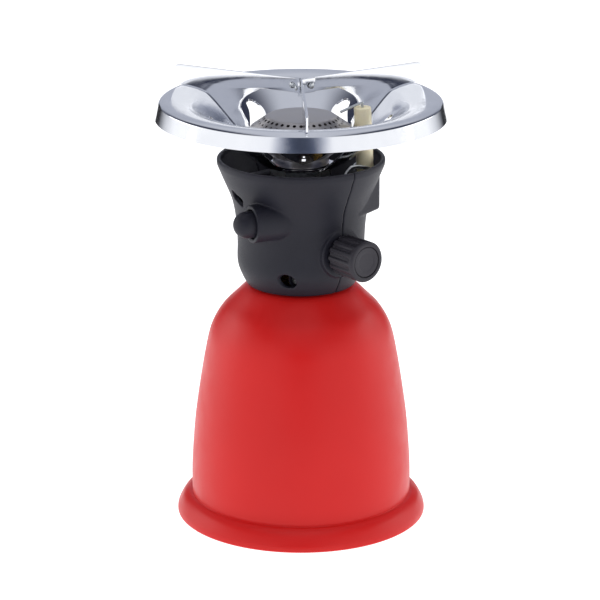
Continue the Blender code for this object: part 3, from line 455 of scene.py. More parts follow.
def burner_stainless():
    """Stainless sheet, satin: warm grey, lightly straw-tinted by the flame, with the fine
    circular marks of spinning."""
    made, tree, shader, at = started("satin_burner_stainless", 0.34, 1.0)
    tint = add(tree, "ShaderNodeTexNoise", {"Vector": at, "Scale": 1 / (8 * MM), "Detail": 4.0})
    colour = add(tree, "ShaderNodeMix", {0: tint.outputs["Fac"], 6: linear("#A9A5A7"),
                                          7: linear("#C6C2BE")}, data_type="RGBA")
    feed(tree, shader, "Base Color", colour.outputs[2])
    gloss = add(tree, "ShaderNodeMapRange", {"Value": tint.outputs["Fac"], "From Min": 0.3, "From Max": 0.7,
                                             "To Min": 0.28, "To Max": 0.42})
    feed(tree, shader, "Roughness", gloss.outputs["Result"])
    rings = add(tree, "ShaderNodeTexWave", {"Vector": at, "Scale": 1 / (9 * MM), "Distortion": 1.5,
                                            "Detail": 3.0}, wave_type="RINGS", rings_direction="Z")
    bump = add(tree, "ShaderNodeBump", {"Height": rings.outputs["Fac"], "Strength": 0.2,
                                        "Distance": 0.01 * MM})
    feed(tree, shader, "Normal", bump.outputs["Normal"])
    return made


def zinc_plated_steel():
    """Drawn steel with a bright zinc plating: pale blue-grey, with a faint crystal mottle."""
    made, tree, shader, at = started("zinc_plated_steel", 0.32, 1.0)
    spangle = add(tree, "ShaderNodeTexVoronoi", {"Vector": at, "Scale": 1 / (1.1 * MM)})
    colour = add(tree, "ShaderNodeMix", {0: spangle.outputs["Distance"], 6: linear("#B4B8BB"),
                                          7: linear("#CED1D3")}, data_type="RGBA")
    feed(tree, shader, "Base Color", colour.outputs[2])
    gloss = add(tree, "ShaderNodeMapRange", {"Value": spangle.outputs["Distance"], "From Max": 0.8,
                                             "To Min": 0.24, "To Max": 0.4})
    feed(tree, shader, "Roughness", gloss.outputs["Result"])
    bump = add(tree, "ShaderNodeBump", {"Height": spangle.outputs["Distance"], "Strength": 0.15,
                                        "Distance": 0.01 * MM})
    feed(tree, shader, "Normal", bump.outputs["Normal"])
    return made


def turned_brass():
    """Free-cutting brass, turned: yellow, with tool rings and slight dulling."""
    made, tree, shader, at = started("turned_brass", 0.28, 1.0)
    dull = add(tree, "ShaderNodeTexNoise", {"Vector": at, "Scale": 1 / (4 * MM), "Detail": 4.0})
    colour = add(tree, "ShaderNodeMix", {0: dull.outputs["Fac"], 6: linear("#B58A3E"),
                                          7: linear("#D9B566")}, data_type="RGBA")
    feed(tree, shader, "Base Color", colour.outputs[2])
    gloss = add(tree, "ShaderNodeMapRange", {"Value": dull.outputs["Fac"], "From Min": 0.3, "From Max": 0.7,
                                             "To Min": 0.22, "To Max": 0.38})
    feed(tree, shader, "Roughness", gloss.outputs["Result"])
    rings = add(tree, "ShaderNodeTexWave", {"Vector": at, "Scale": 1 / (6 * MM), "Distortion": 0.6},
                bands_direction="Z")
    bump = add(tree, "ShaderNodeBump", {"Height": rings.outputs["Fac"], "Strength": 0.2,
                                        "Distance": 0.01 * MM})
    feed(tree, shader, "Normal", bump.outputs["Normal"])
    return made


def fired_steatite():
    """Steatite ceramic, pressed and fired, unglazed: cream, dense, slightly speckled."""
    made, tree, shader, at = started("fired_cream_steatite", 0.45)
    shader.inputs["IOR"].default_value = 1.6
    shader.inputs["Subsurface Weight"].default_value = 0.08
    shader.inputs["Subsurface Radius"].default_value = (1.2 * MM, 0.9 * MM, 0.6 * MM)
    cloud = add(tree, "ShaderNodeTexNoise", {"Vector": at, "Scale": 1 / (3 * MM), "Detail": 5.0})
    body = add(tree, "ShaderNodeMix", {0: cloud.outputs["Fac"], 6: linear("#FAEBBE"), 7: linear("#FFF5D6")},
               data_type="RGBA")
    speck = add(tree, "ShaderNodeTexVoronoi", {"Vector": at, "Scale": 1 / (0.8 * MM)})
    near = add(tree, "ShaderNodeMapRange", {"Value": speck.outputs["Distance"], "From Min": 0.05,
                                            "From Max": 0.16, "To Min": 0.45, "To Max": 0.0})
    mix = add(tree, "ShaderNodeMix", {0: near.outputs["Result"], 6: body.outputs[2], 7: linear("#A08B5C")},
              data_type="RGBA")
    feed(tree, shader, "Base Color", mix.outputs[2])
    gloss = add(tree, "ShaderNodeMapRange", {"Value": cloud.outputs["Fac"], "To Min": 0.36, "To Max": 0.54})
    feed(tree, shader, "Roughness", gloss.outputs["Result"])
    bump = add(tree, "ShaderNodeBump", {"Height": cloud.outputs["Fac"], "Strength": 0.3,
                                        "Distance": 0.03 * MM})
    feed(tree, shader, "Normal", bump.outputs["Normal"])
    return made


def black_rubber():
    """Moulded nitrile rubber: soft black with a dusty bloom."""
    made, tree, shader, at = started("moulded_black_rubber", 0.7)
    bloom = add(tree, "ShaderNodeTexNoise", {"Vector": at, "Scale": 1 / (2.5 * MM), "Detail": 4.0})
    colour = add(tree, "ShaderNodeMix", {0: bloom.outputs["Fac"], 6: linear("#161617"),
                                          7: linear("#2A2A2B")}, data_type="RGBA")
    feed(tree, shader, "Base Color", colour.outputs[2])
    gloss = add(tree, "ShaderNodeMapRange", {"Value": bloom.outputs["Fac"], "To Min": 0.6, "To Max": 0.85})
    feed(tree, shader, "Roughness", gloss.outputs["Result"])
    bump = add(tree, "ShaderNodeBump", {"Height": bloom.outputs["Fac"], "Strength": 0.3,
                                        "Distance": 0.02 * MM})
    feed(tree, shader, "Normal", bump.outputs["Normal"])
    return made


def igniter_acetal():
    """Acetal, moulded: the igniter's grey-brown case, waxy and slightly glossy."""
    made, tree, shader, at = started("moulded_grey_acetal", 0.4)
    cloud = add(tree, "ShaderNodeTexNoise", {"Vector": at, "Scale": 1 / (5 * MM), "Detail": 4.0})
    colour = add(tree, "ShaderNodeMix", {0: cloud.outputs["Fac"], 6: linear("#4C4844"),
                                          7: linear("#5E5852")}, data_type="RGBA")
    feed(tree, shader, "Base Color", colour.outputs[2])
    gloss = add(tree, "ShaderNodeMapRange", {"Value": cloud.outputs["Fac"], "To Min": 0.32, "To Max": 0.5})
    feed(tree, shader, "Roughness", gloss.outputs["Result"])
    return made


HANDLED_NYLON = charcoal_nylon("handled_charcoal_nylon", "#2A282E", "#36343A")
FINISHES = {
    "red_plastic": red_polypropylene(),
    "charcoal_plastic": charcoal_nylon("moulded_charcoal_nylon", "#191922", "#21212B"),
    "chrome_steel": chromed_steel(),
    "burner_steel": burner_stainless(),
    "zinc_steel": zinc_plated_steel(),
    "brass": turned_brass(),
    "ceramic": fired_steatite(),
    "black_rubber": black_rubber(),
    "igniter_plastic": igniter_acetal(),
}


# ---- base ----
def bell():
    """Red bell: a drawn-in crown, a barely tapering wall, a crease and a flared foot."""
    foot = smooth([(FOOT_RADIUS - 0.7 * MM, 0.0), (FOOT_RADIUS, 0.9 * MM),
                   (FOOT_RADIUS - 0.5 * MM, 0.35 * FOOT_HEIGHT),
                   (FOOT_RADIUS - 3.0 * MM, 0.77 * FOOT_HEIGHT),
                   (BELL_RADIUS + 1.3 * MM, 0.98 * FOOT_HEIGHT)], 6)
    crease = [(BELL_RADIUS + 0.25 * MM, FOOT_HEIGHT - 0.05 * MM),
              (BELL_RADIUS - 0.10 * MM, FOOT_HEIGHT + 0.30 * MM)]
    shoulder = CROWN_Z - SHOULDER_DROP
    rise = shoulder - FOOT_HEIGHT
    taper = BELL_RADIUS - SHOULDER_RADIUS
    side = smooth([(BELL_RADIUS, FOOT_HEIGHT + 0.9 * MM),
                   (BELL_RADIUS - 0.02 * taper, FOOT_HEIGHT + 0.20 * rise),
                   (BELL_RADIUS - 0.22 * taper, FOOT_HEIGHT + 0.48 * rise),
                   (BELL_RADIUS - 0.56 * taper, FOOT_HEIGHT + 0.74 * rise),
                   (SHOULDER_RADIUS, shoulder),
                   (SHOULDER_RADIUS - 2.7 * MM, CROWN_Z - 0.68 * SHOULDER_DROP),
                   (SHOULDER_RADIUS - 7.3 * MM, CROWN_Z - 0.42 * SHOULDER_DROP),
                   (CROWN_RADIUS + 9.0 * MM, CROWN_Z - 0.22 * SHOULDER_DROP),
                   (CROWN_RADIUS + 3.4 * MM, CROWN_Z - 0.05 * SHOULDER_DROP),
                   (CROWN_RADIUS, CROWN_Z)], 8)
    outer = foot + crease + side
    inner = [p for p in offset(outer, BELL_WALL) if p[1] < CROWN_Z - CROWN_WALL - 0.5 * MM]
    inner = [(FOOT_RADIUS - BELL_WALL - 0.4 * MM, 0.0)] + [p for p in inner if p[1] > 1.2 * MM]
    ceiling = CROWN_Z - CROWN_WALL
    hole = [(COLLAR_HOLE + 0.4 * MM, CROWN_Z), (COLLAR_HOLE, CROWN_Z - 0.4 * MM), (COLLAR_HOLE, ceiling),
            (inner[-1][0] - 2.0 * MM, ceiling)]
    shell = turned("bell", outer + hole + inner[::-1])
    posts = []
    bores = []
    for angle in LATCH_AZIMUTHS:
        spot = azimuth(angle) * LATCH_CIRCLE
        posts.append(place(rod("post", 3.0 * MM, 4.5 * MM, FOOT_HEIGHT - 0.9 * MM, 32), spot))
        bores.append(place(rod("bore", 1.8 * MM, 1.0 * MM, FOOT_HEIGHT - 2.4 * MM, 32), spot))
    shell = combined(shell, "UNION", posts)
    return stands_for(combined(shell, "DIFFERENCE", bores), "base_shell")


# ---- housing ----
def rim_frame():
    """Centre of the igniter's open rim and the way it faces."""
    low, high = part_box("igniter_button")
    return (low + high) / 2 - BUTTON_OUT * RIM_BEHIND, BUTTON_OUT


def insulator_frame():
    """Foot of the insulator, the direction of its axis, and its length."""
    out = azimuth(BULGE_AZIMUTH)
    foot = out * INSULATOR_LOW + Vector((0, 0, HOUSING_Z + INSULATOR_FOOT_HEIGHT))
    top = out * INSULATOR_HIGH + Vector((0, 0, HOUSING_Z + INSULATOR_TOP_HEIGHT))
    return foot, (top - foot).normalized(), (top - foot).length


def housing_shell(name):
    """The whole turned shape of the housing, before it is split."""
    top = HOUSING_Z + HOUSING_HEIGHT
    side = smooth([(HOUSING_FOOT - 0.6 * MM, HOUSING_Z), (HOUSING_FOOT, HOUSING_Z + 0.6 * MM),
                   (HOUSING_FOOT + 2.2 * MM, HOUSING_Z + 4.8 * MM),
                   (HOUSING_BODY, HOUSING_Z + 11.0 * MM), (HOUSING_BODY, HOUSING_Z + 21.0 * MM),
                   (HOUSING_BODY + 0.7 * MM, top - 30.5 * MM), (HOUSING_BODY + 2.7 * MM, top - 20.0 * MM),
                   (HOUSING_LIP - 3.0 * MM, top - 10.0 * MM), (HOUSING_LIP - 0.1 * MM, top - 3.0 * MM)], 5)
    lip = arc((HOUSING_LIP - HOUSING_WALL / 2, top - HOUSING_WALL / 2), HOUSING_WALL / 2, 0, 180, 8)
    inner = [p for p in offset(side, HOUSING_WALL) if p[1] > HOUSING_Z + 3.4 * MM]
    floor = HOUSING_Z + 2.4 * MM
    return turned(name, [(13.7 * MM, HOUSING_Z)] + side + lip + inner[::-1]
                  + [(inner[0][0] - 1.0 * MM, floor), (13.7 * MM, floor)])


def bulge(name, inset, root, low, high, corner_round=0.0):
    """The electrode's side box, or the room inside its walls when inset is set.

    Its front wall slants back from the corner until it touches the round body.
    """
    corner = Vector((BULGE_RADIUS, -BULGE_CORNER))
    turn = math.atan2(corner.y, corner.x) - math.acos(BULGE_TOUCH_RADIUS / corner.length)
    reach = BULGE_TOUCH_RADIUS - inset
    front = BULGE_RADIUS - inset
    side = BULGE_HALF_WIDTH - inset
    outline = [(front, (reach - front * math.cos(turn)) / math.sin(turn)), (front, side),
               (root, side), (reach * math.cos(turn), reach * math.sin(turn))]
    made = prism(name, outline, HOUSING_Z + low, HOUSING_Z + high, corner_round, all_round=True)
    made.rotation_euler.z = math.radians(BULGE_AZIMUTH)
    return made


def housing_half(name, node, side):
    """One moulded half; side -1 carries the igniter's barrel, +1 the electrode's box."""
    shell = housing_shell(name)
    along = azimuth(SEAM_AZIMUTH)
    centre = Vector((0, 0, KNOB_AXIS_AT.z))
    boss = rod("knob_boss", KNOB_BOSS_RADIUS, HOUSING_BODY - 3.5 * MM, KNOB_START - 1.0 * MM)
    joined = [place(boss, centre, along)]
    bores = [place(rod("knob_well", 7.8 * MM, 20 * MM, KNOB_START - 2.5 * MM), centre, along),
             place(rod("shaft_hole", 4.4 * MM, 20 * MM, 40 * MM), centre, along)]
    if side < 0:
        rim, facing = RIM, RIM_FACING
        joined.append(place(rod("barrel", IGNITER_RIM_RADIUS, -24.0 * MM, 0.0), rim, facing))
        bores.append(place(rod("igniter_bore", 5.9 * MM, -30 * MM, -5.0 * MM), rim, facing))
        bores.append(place(rod("button_bore", BUTTON_RADIUS + 0.6 * MM, -13.5 * MM, 10 * MM), rim, facing))
        slot = block("air_slot", (27.0 * MM, -4.2 * MM, -2.6 * MM),
                     (40.0 * MM, 4.2 * MM, 2.6 * MM), 0.8 * MM)
        slot.location = (0, 0, HOUSING_Z + SLOT_HEIGHT)
        slot.rotation_euler = (math.radians(SLOT_TILT), 0.0, math.radians(SLOT_AZIMUTH))
        bores.append(slot)
    else:
        box = bulge("bulge", 0.0, BULGE_ROOT, BULGE_LOW, HOUSING_HEIGHT - BULGE_TOP_INSET, 1.5 * MM)
        shell = combined(shell, "UNION", [box])
        room = bulge("room", BULGE_WALL, BULGE_ROOT - 8.5 * MM, BULGE_LOW + BULGE_WALL,
                     HOUSING_HEIGHT + 2.0 * MM)
        shell = combined(shell, "DIFFERENCE", [room])
        foot, up, _ = insulator_frame()
        joined.append(place(rod("socket", INSULATOR_RADIUS + 1.8 * MM, 1.5 * MM, 9.0 * MM), foot, up))
        bores.append(place(rod("socket_bore", INSULATOR_RADIUS + 0.3 * MM, -3.0 * MM, 20.0 * MM), foot, up))
    facing = azimuth(SEAM_AZIMUTH + 90) * side
    screws = [(along * 18.4 * MM, 8.4 * MM, -1.0), (along * -18.4 * MM, 8.4 * MM, 1.0),
              (along * -22.0 * MM, 48.0 * MM, 1.0)]
    for spot, height, head_side in screws:
        spot = spot + Vector((0, 0, HOUSING_Z + height))
        reach = (19.5 if height < 20 * MM else 21.2) * MM
        joined.append(place(rod("screw_boss", 3.9 * MM, 0.0, reach, 32), spot, facing))
        bores.append(place(rod("screw_hole", 1.7 * MM, -1.0 * MM, 18.5 * MM, 32), spot, facing))
        if head_side == side:
            bores.append(place(rod("recess", 3.5 * MM, 16.0 * MM, 40.0 * MM, 48), spot, facing))
    other = block("other_half", (-90 * MM, -120 * MM, 50 * MM), (90 * MM, SEAM_GAP, 250 * MM))
    other.rotation_euler.z = math.radians(SEAM_AZIMUTH + (0.0 if side > 0 else 180.0))
    shell = combined(shell, "UNION", joined)
    shell = combined(shell, "DIFFERENCE", [other] + bores)
    return stands_for(moulded(shell, 0.45 * MM, 5), node)


# ---- knob and button ----
def knob():
    """Gas knob: broad flutes, an eased front edge and a dished face round its cap."""
    def ring(bm, radius, depth, z):
        verts = []
        for i in range(KNOB_FLUTES * 12):
            share = (i / 12) % 1.0
            dip = 0.5 - 0.5 * math.cos(math.tau * share)
            dip = min(1.0, max(0.0, (dip - 0.30) / 0.45))
            size = radius - depth * dip * dip * (3 - 2 * dip)
            angle = math.tau * i / (KNOB_FLUTES * 12)
            verts.append(bm.verts.new((size * math.cos(angle), size * math.sin(angle), z)))
        return verts

    flute = 0.75 * MM
    face = KNOB_LENGTH
    profile = [(KNOB_RADIUS * 0.97 - 0.5 * MM, flute, 0.0), (KNOB_RADIUS * 0.97, flute, 0.5 * MM),
               (KNOB_RADIUS * 0.985, flute, 0.5 * face), (KNOB_RADIUS, flute, face - 3.4 * MM),
               (KNOB_RADIUS, 0.55 * flute, face - 2.4 * MM), (KNOB_RADIUS, 0.15 * flute, face - 1.6 * MM),
               (KNOB_RADIUS - 0.12 * MM, 0.0, face - 0.95 * MM),
               (KNOB_RADIUS - 0.45 * MM, 0.0, face - 0.45 * MM),
               (KNOB_RADIUS - 0.95 * MM, 0.0, face - 0.12 * MM),
               (KNOB_RADIUS - 1.5 * MM, 0.0, face), (7.75 * MM, 0.0, face),
               (7.55 * MM, 0.0, face - 0.12 * MM), (7.5 * MM, 0.0, face - 1.2 * MM)]
    bm = bmesh.new()
    rings = [ring(bm, *p) for p in profile]
    count = len(rings[0])
    for low, high in zip(rings, rings[1:]):
        for i in range(count):
            k = (i + 1) % count
            bm.faces.new((low[i], low[k], high[k], high[i]))
    bm.faces.new(rings[0][::-1])
    bm.faces.new(rings[-1])
    grip = place(from_bmesh("knob_grip", bm, 40.0), KNOB_AXIS_AT + KNOB_OUT * KNOB_START, KNOB_OUT)
    bore = place(rod("bore", 3.3 * MM, -1.0 * MM, 11.4 * MM), grip.location, KNOB_OUT)
    stands_for(combined(grip, "DIFFERENCE", [bore], 40.0), "control_knob", finish=HANDLED_NYLON)
    front = KNOB_START + KNOB_LENGTH
    outline = [(0, front - 0.9 * MM), (7.2 * MM, front - 0.9 * MM), (7.2 * MM, front - 0.45 * MM),
               (7.05 * MM, front - 0.3 * MM), (4.9 * MM, front - 0.3 * MM), (4.6 * MM, front - 0.45 * MM),
               (4.2 * MM, front - 0.5 * MM), (0, front - 0.5 * MM)]
    disc = turned("knob_disc", outline, 96)
    stands_for(place(disc, KNOB_AXIS_AT, KNOB_OUT), "knob_cap", finish=HANDLED_NYLON)


def button():
    """Igniter's push button: a tall dome, hollow behind."""
    flat = BUTTON_PROUD - BUTTON_RADIUS
    dome = arc((0, flat), BUTTON_RADIUS, 90, 4, 16)
    push = turned("igniter_push", dome + [(BUTTON_RADIUS, flat - 0.5 * MM), (BUTTON_RADIUS, -7.5 * MM),
                                          (4.7 * MM, -7.5 * MM), (4.7 * MM, flat - 0.2 * MM),
                                          (0, flat - 0.2 * MM)], 96)
    stands_for(place(push, RIM, RIM_FACING), "igniter_button")


# ---- ignition ----
def ignition():
    """Ceramic insulator, its spark wire and the spring clip round it."""
    foot, up, length = insulator_frame()
    radius = INSULATOR_RADIUS
    tube = turned("spark_insulator", [
        (0, 4.0 * MM), (1.1 * MM, 4.0 * MM), (1.1 * MM, 0.0), (radius - 0.8 * MM, 0.0)]
        + arc((radius - 0.8 * MM, 0.8 * MM), 0.8 * MM, -90, 0, 5)[1:]
        + arc((radius - 0.8 * MM, length - 0.8 * MM), 0.8 * MM, 0, 90, 5)
        + [(1.3 * MM, length), (1.0 * MM, length - 0.3 * MM), (1.0 * MM, length - 6.0 * MM),
           (0, length - 6.0 * MM)], 64)
    stands_for(place(tube, foot, up), "ceramic_insulator")
    top = foot + up * length
    spark_at = Vector((18.9 * MM, -1.1 * MM, DISH_Z + 26.1 * MM))
    bend = top + up * 2.2 * MM
    route = [top - up * 5.5 * MM, top, bend - up * 0.8 * MM, bend + (spark_at - bend) * 0.10, spark_at]
    stands_for(wire("spark_wire", smooth(route, 6), 0.65 * MM), "spark_electrode")
    side = azimuth(BULGE_AZIMUTH + 90)
    out = azimuth(BULGE_AZIMUTH)
    ring_at = foot + up * ((DISH_Z - 1.4 * MM - foot.z) / up.z)
    reach = radius + 1.0 * MM
    loop = [ring_at + (out * math.cos(math.radians(a)) + side * math.sin(math.radians(a))) * reach
            for a in range(75, 290, 15)]
    arm = Vector((23.8 * MM, -16.2 * MM, DISH_Z + 3.0 * MM))
    hook = Vector((19.0 * MM, -20.5 * MM, DISH_Z - 4.0 * MM))
    stands_for(wire("clip_wire", smooth(loop + [arm, hook], 3), 0.6 * MM), "electrode_clip")


# ---- burner and dish ----
def burner():
    """Burner cup, and the pierced cap that closes it."""
    floor = DISH_Z + DISH_WALL + 0.3 * MM
    rim = DISH_Z + CUP_RIM_HEIGHT
    hub = TUBE_RADIUS + 0.3 * MM
    outer = [(13.5 * MM, floor), (13.5 * MM, floor + 3.6 * MM)] + smooth(
        [(14.7 * MM, floor + 4.2 * MM), (21.3 * MM, floor + 9.2 * MM), (CUP_RADIUS, floor + 11.8 * MM)], 6)
    inner = [(22.2 * MM, rim)] + smooth(
        [(22.2 * MM, floor + 12.2 * MM), (20.3 * MM, floor + 10.1 * MM), (13.9 * MM, floor + 5.4 * MM)], 6)
    outline = [(hub, floor)] + outer + [(CUP_RADIUS, rim)] + inner + [(hub, floor + 5.4 * MM)]
    stands_for(turned("flame_cup", outline, 144), "burner_cup")

    crown = DISH_Z + CAP_TOP_HEIGHT
    flat = CAP_FLAT_RADIUS
    wall = 0.9 * MM
    edge = CAP_RADIUS
    edge_z = crown - 5.7 * MM
    slope = (crown - edge_z) / (edge - flat)
    inside = 23.6 * MM
    cap = turned("flame_cap", soften([
        (0, crown), (flat, crown), (edge - 0.2 * MM, edge_z), (edge, edge_z - 0.9 * MM),
        (edge, rim - 3.0 * MM), (inside, rim - 3.0 * MM), (inside, edge_z - 1.2 * MM),
        (flat - 0.4 * MM, crown - wall - 0.4 * MM), (0, crown - wall)], 0.7 * MM, 4), 144)
    bm = bmesh.new()
    aim = Vector((slope, 0, 1)).normalized().to_track_quat("Z", "Y").to_matrix().to_4x4()
    for row, (size, radius) in enumerate(CAP_ROWS):
        height = crown - slope * (radius - flat)
        for i in range(CAP_HOLES):
            turn = Matrix.Rotation(math.tau * (i + 0.5 * row) / CAP_HOLES, 4, "Z")
            bmesh.ops.create_cone(bm, cap_ends=True, segments=12, radius1=size, radius2=size, depth=4 * MM,
                                  matrix=turn @ Matrix.Translation((radius, 0, height)) @ aim)
    stands_for(combined(cap, "DIFFERENCE", [from_bmesh("flame_holes", bm)], 30.0), "burner_cap")


def bowl_line(steps):
    """Upper surface of the dish, from its floor to its outer edge."""
    floor = DISH_Z + DISH_WALL
    edge = DISH_Z + DISH_EDGE_HEIGHT
    return smooth([(16.0 * MM, floor), (21.4 * MM, floor + 2.2 * MM), (30.2 * MM, floor + 9.2 * MM),
                   (48.4 * MM, edge - 3.8 * MM), (54.8 * MM, edge - 0.3 * MM), (63.0 * MM, edge + 1.0 * MM),
                   (66.6 * MM, edge + 0.6 * MM)], steps)


def dish():
    """Pressed reflector dish with three air windows and the slots of the supports."""
    edge = DISH_Z + DISH_EDGE_HEIGHT
    fold = smooth([(67.5 * MM, edge + 0.25 * MM), (68.2 * MM, edge - 0.4 * MM),
                   (68.6 * MM, edge - 1.5 * MM)], 4)
    skirt = fold + [(DISH_RADIUS, edge - DISH_SKIRT)]
    top = [(TUBE_RADIUS + 0.3 * MM, DISH_Z + DISH_WALL)] + bowl_line(8) + skirt
    under = offset(top, -DISH_WALL)
    under[0] = (TUBE_RADIUS + 0.3 * MM, DISH_Z)
    under[-1] = (DISH_RADIUS - DISH_WALL, edge - DISH_SKIRT)
    sheet = turned("chromed_dish", top + under[::-1], 240)
    half = smooth([(28.1 * MM, 0.0), (31.6 * MM, 7.0 * MM), (36.1 * MM, 14.6 * MM), (39.6 * MM, 17.6 * MM),
                   (38.3 * MM, 21.4 * MM), (31.9 * MM, 22.2 * MM), (25.0 * MM, 16.0 * MM),
                   (19.0 * MM, 10.3 * MM), (16.0 * MM, 7.8 * MM), (14.9 * MM, 4.0 * MM),
                   (14.9 * MM, 0.0)], 6)
    window = half + [(x, -y) for x, y in half[-2:0:-1]]
    openings = []
    for angle in SUPPORT_AZIMUTHS:
        opening = prism("window", window, DISH_Z - 3 * MM, DISH_Z + 32 * MM)
        slot = block("leg_slot", (30.9 * MM, -0.9 * MM, DISH_Z), (34.4 * MM, 0.9 * MM, DISH_Z + 20 * MM))
        for tool in (opening, slot):
            tool.rotation_euler.z = math.radians(angle)
            openings.append(tool)
    foot, up, length = insulator_frame()
    drill = rod("insulator_hole", INSULATOR_RADIUS + 0.7 * MM, 18 * MM, length - 3 * MM)
    openings.append(place(drill, foot, up))
    stands_for(combined(sheet, "DIFFERENCE", openings, 30.0), "reflector_dish")


def blade_outline():
    """Side view of one blade, from the centre out: bar, arch, leg and tip."""
    top = SUPPORT_TOP
    bar = top - SUPPORT_BAR
    leg = 28.4 * MM
    clear = [p for p in offset(bowl_line(8), 0.4 * MM) if leg + 0.4 * MM < p[0] < SUPPORT_RADIUS - 3.5 * MM]
    brim = max(z for _, z in clear)
    inner = smooth([(leg, clear[0][1] + 0.4 * MM), (leg, clear[0][1] + 6.0 * MM),
                    (31.8 * MM, bar - 13.1 * MM), (32.8 * MM, bar - 9.2 * MM), (30.7 * MM, bar - 5.5 * MM),
                    (26.2 * MM, bar - 2.5 * MM), (21.3 * MM, bar)], 6)
    tip = SUPPORT_RADIUS
    return ([(1.3 * MM, top), (1.3 * MM, bar)] + inner[::-1] + clear + [(tip - 3.0 * MM, brim + 0.2 * MM)]
            + arc((tip - 1.6 * MM, brim + 1.8 * MM), 1.6 * MM, -90, 0, 6)[1:]
            + arc((tip - 2.2 * MM, top - 2.2 * MM), 2.2 * MM, 0, 90, 8))


def supports():
    """Three chromed blades that clasp each other at the centre, with their rivets."""
    top = SUPPORT_TOP
    bar = top - SUPPORT_BAR
    half = BLADE / 2
    shift = BLADE + 0.3 * MM
    mid = (top + bar) / 2
    for i, angle in enumerate(SUPPORT_AZIMUTHS):
        blade = prism(f"blade_{i + 1}", blade_outline(), -half, half, 0.16 * MM)
        blade.rotation_euler = (math.radians(90.0), 0.0, math.radians(angle))
        tab = block("tab", (31.3 * MM, -half, DISH_Z + 12.0 * MM),
                    (34.0 * MM, half, DISH_Z + 18 * MM), 0.12 * MM)
        web = block("web", (0.9 * MM, -half, bar), (3.0 * MM, half, top), 0.12 * MM)
        flange = block("flange", (-1.2 * MM, -shift - half, bar), (7.0 * MM, half - shift, top), 0.16 * MM)
        tab.rotation_euler.z = web.rotation_euler.z = math.radians(angle)
        flange.rotation_euler.z = math.radians(angle + 120.0)
        blade = combined(blade, "UNION", [tab, web, flange])
        holes = []
        for own in (angle, angle + 120.0):
            hole = rod("rivet_hole", 1.1 * MM, -4 * MM, 4 * MM, 24)
            holes.append(place(hole, azimuth(own) * RIVET_OFFSET + Vector((0, 0, mid)), azimuth(own - 90.0)))
        stands_for(combined(blade, "DIFFERENCE", holes), f"pot_support_{i + 1}")
    thick = half + shift + half
    near = -half
    rivet = [(0, thick + 0.9 * MM), (0.6 * MM, thick + 0.86 * MM), (1.1 * MM, thick + 0.7 * MM),
             (1.5 * MM, thick + 0.4 * MM), (1.6 * MM, thick + 0.1 * MM), (0.9 * MM, thick + 0.1 * MM),
             (0.9 * MM, near - 0.1 * MM), (1.6 * MM, near - 0.1 * MM), (1.5 * MM, near - 0.4 * MM),
             (1.1 * MM, near - 0.7 * MM), (0.6 * MM, near - 0.86 * MM), (0, near - 0.9 * MM)]
    for i, angle in enumerate(SUPPORT_AZIMUTHS):
        spot = azimuth(angle) * RIVET_OFFSET + Vector((0, 0, mid))
        head = turned(f"rivet_{i + 1}", rivet, 32)
        stands_for(place(head, spot, azimuth(angle - 90.0)), f"support_rivet_{i + 1}")


def plain_nodes():
    """Every CAD node that still shows takes the finish of its own slot."""
    for name, node in frame["nodes"].items():
        if not node.hide_render:
            node.data.materials.clear()
            node.data.materials.append(FINISHES[SLOT_OF[name]])


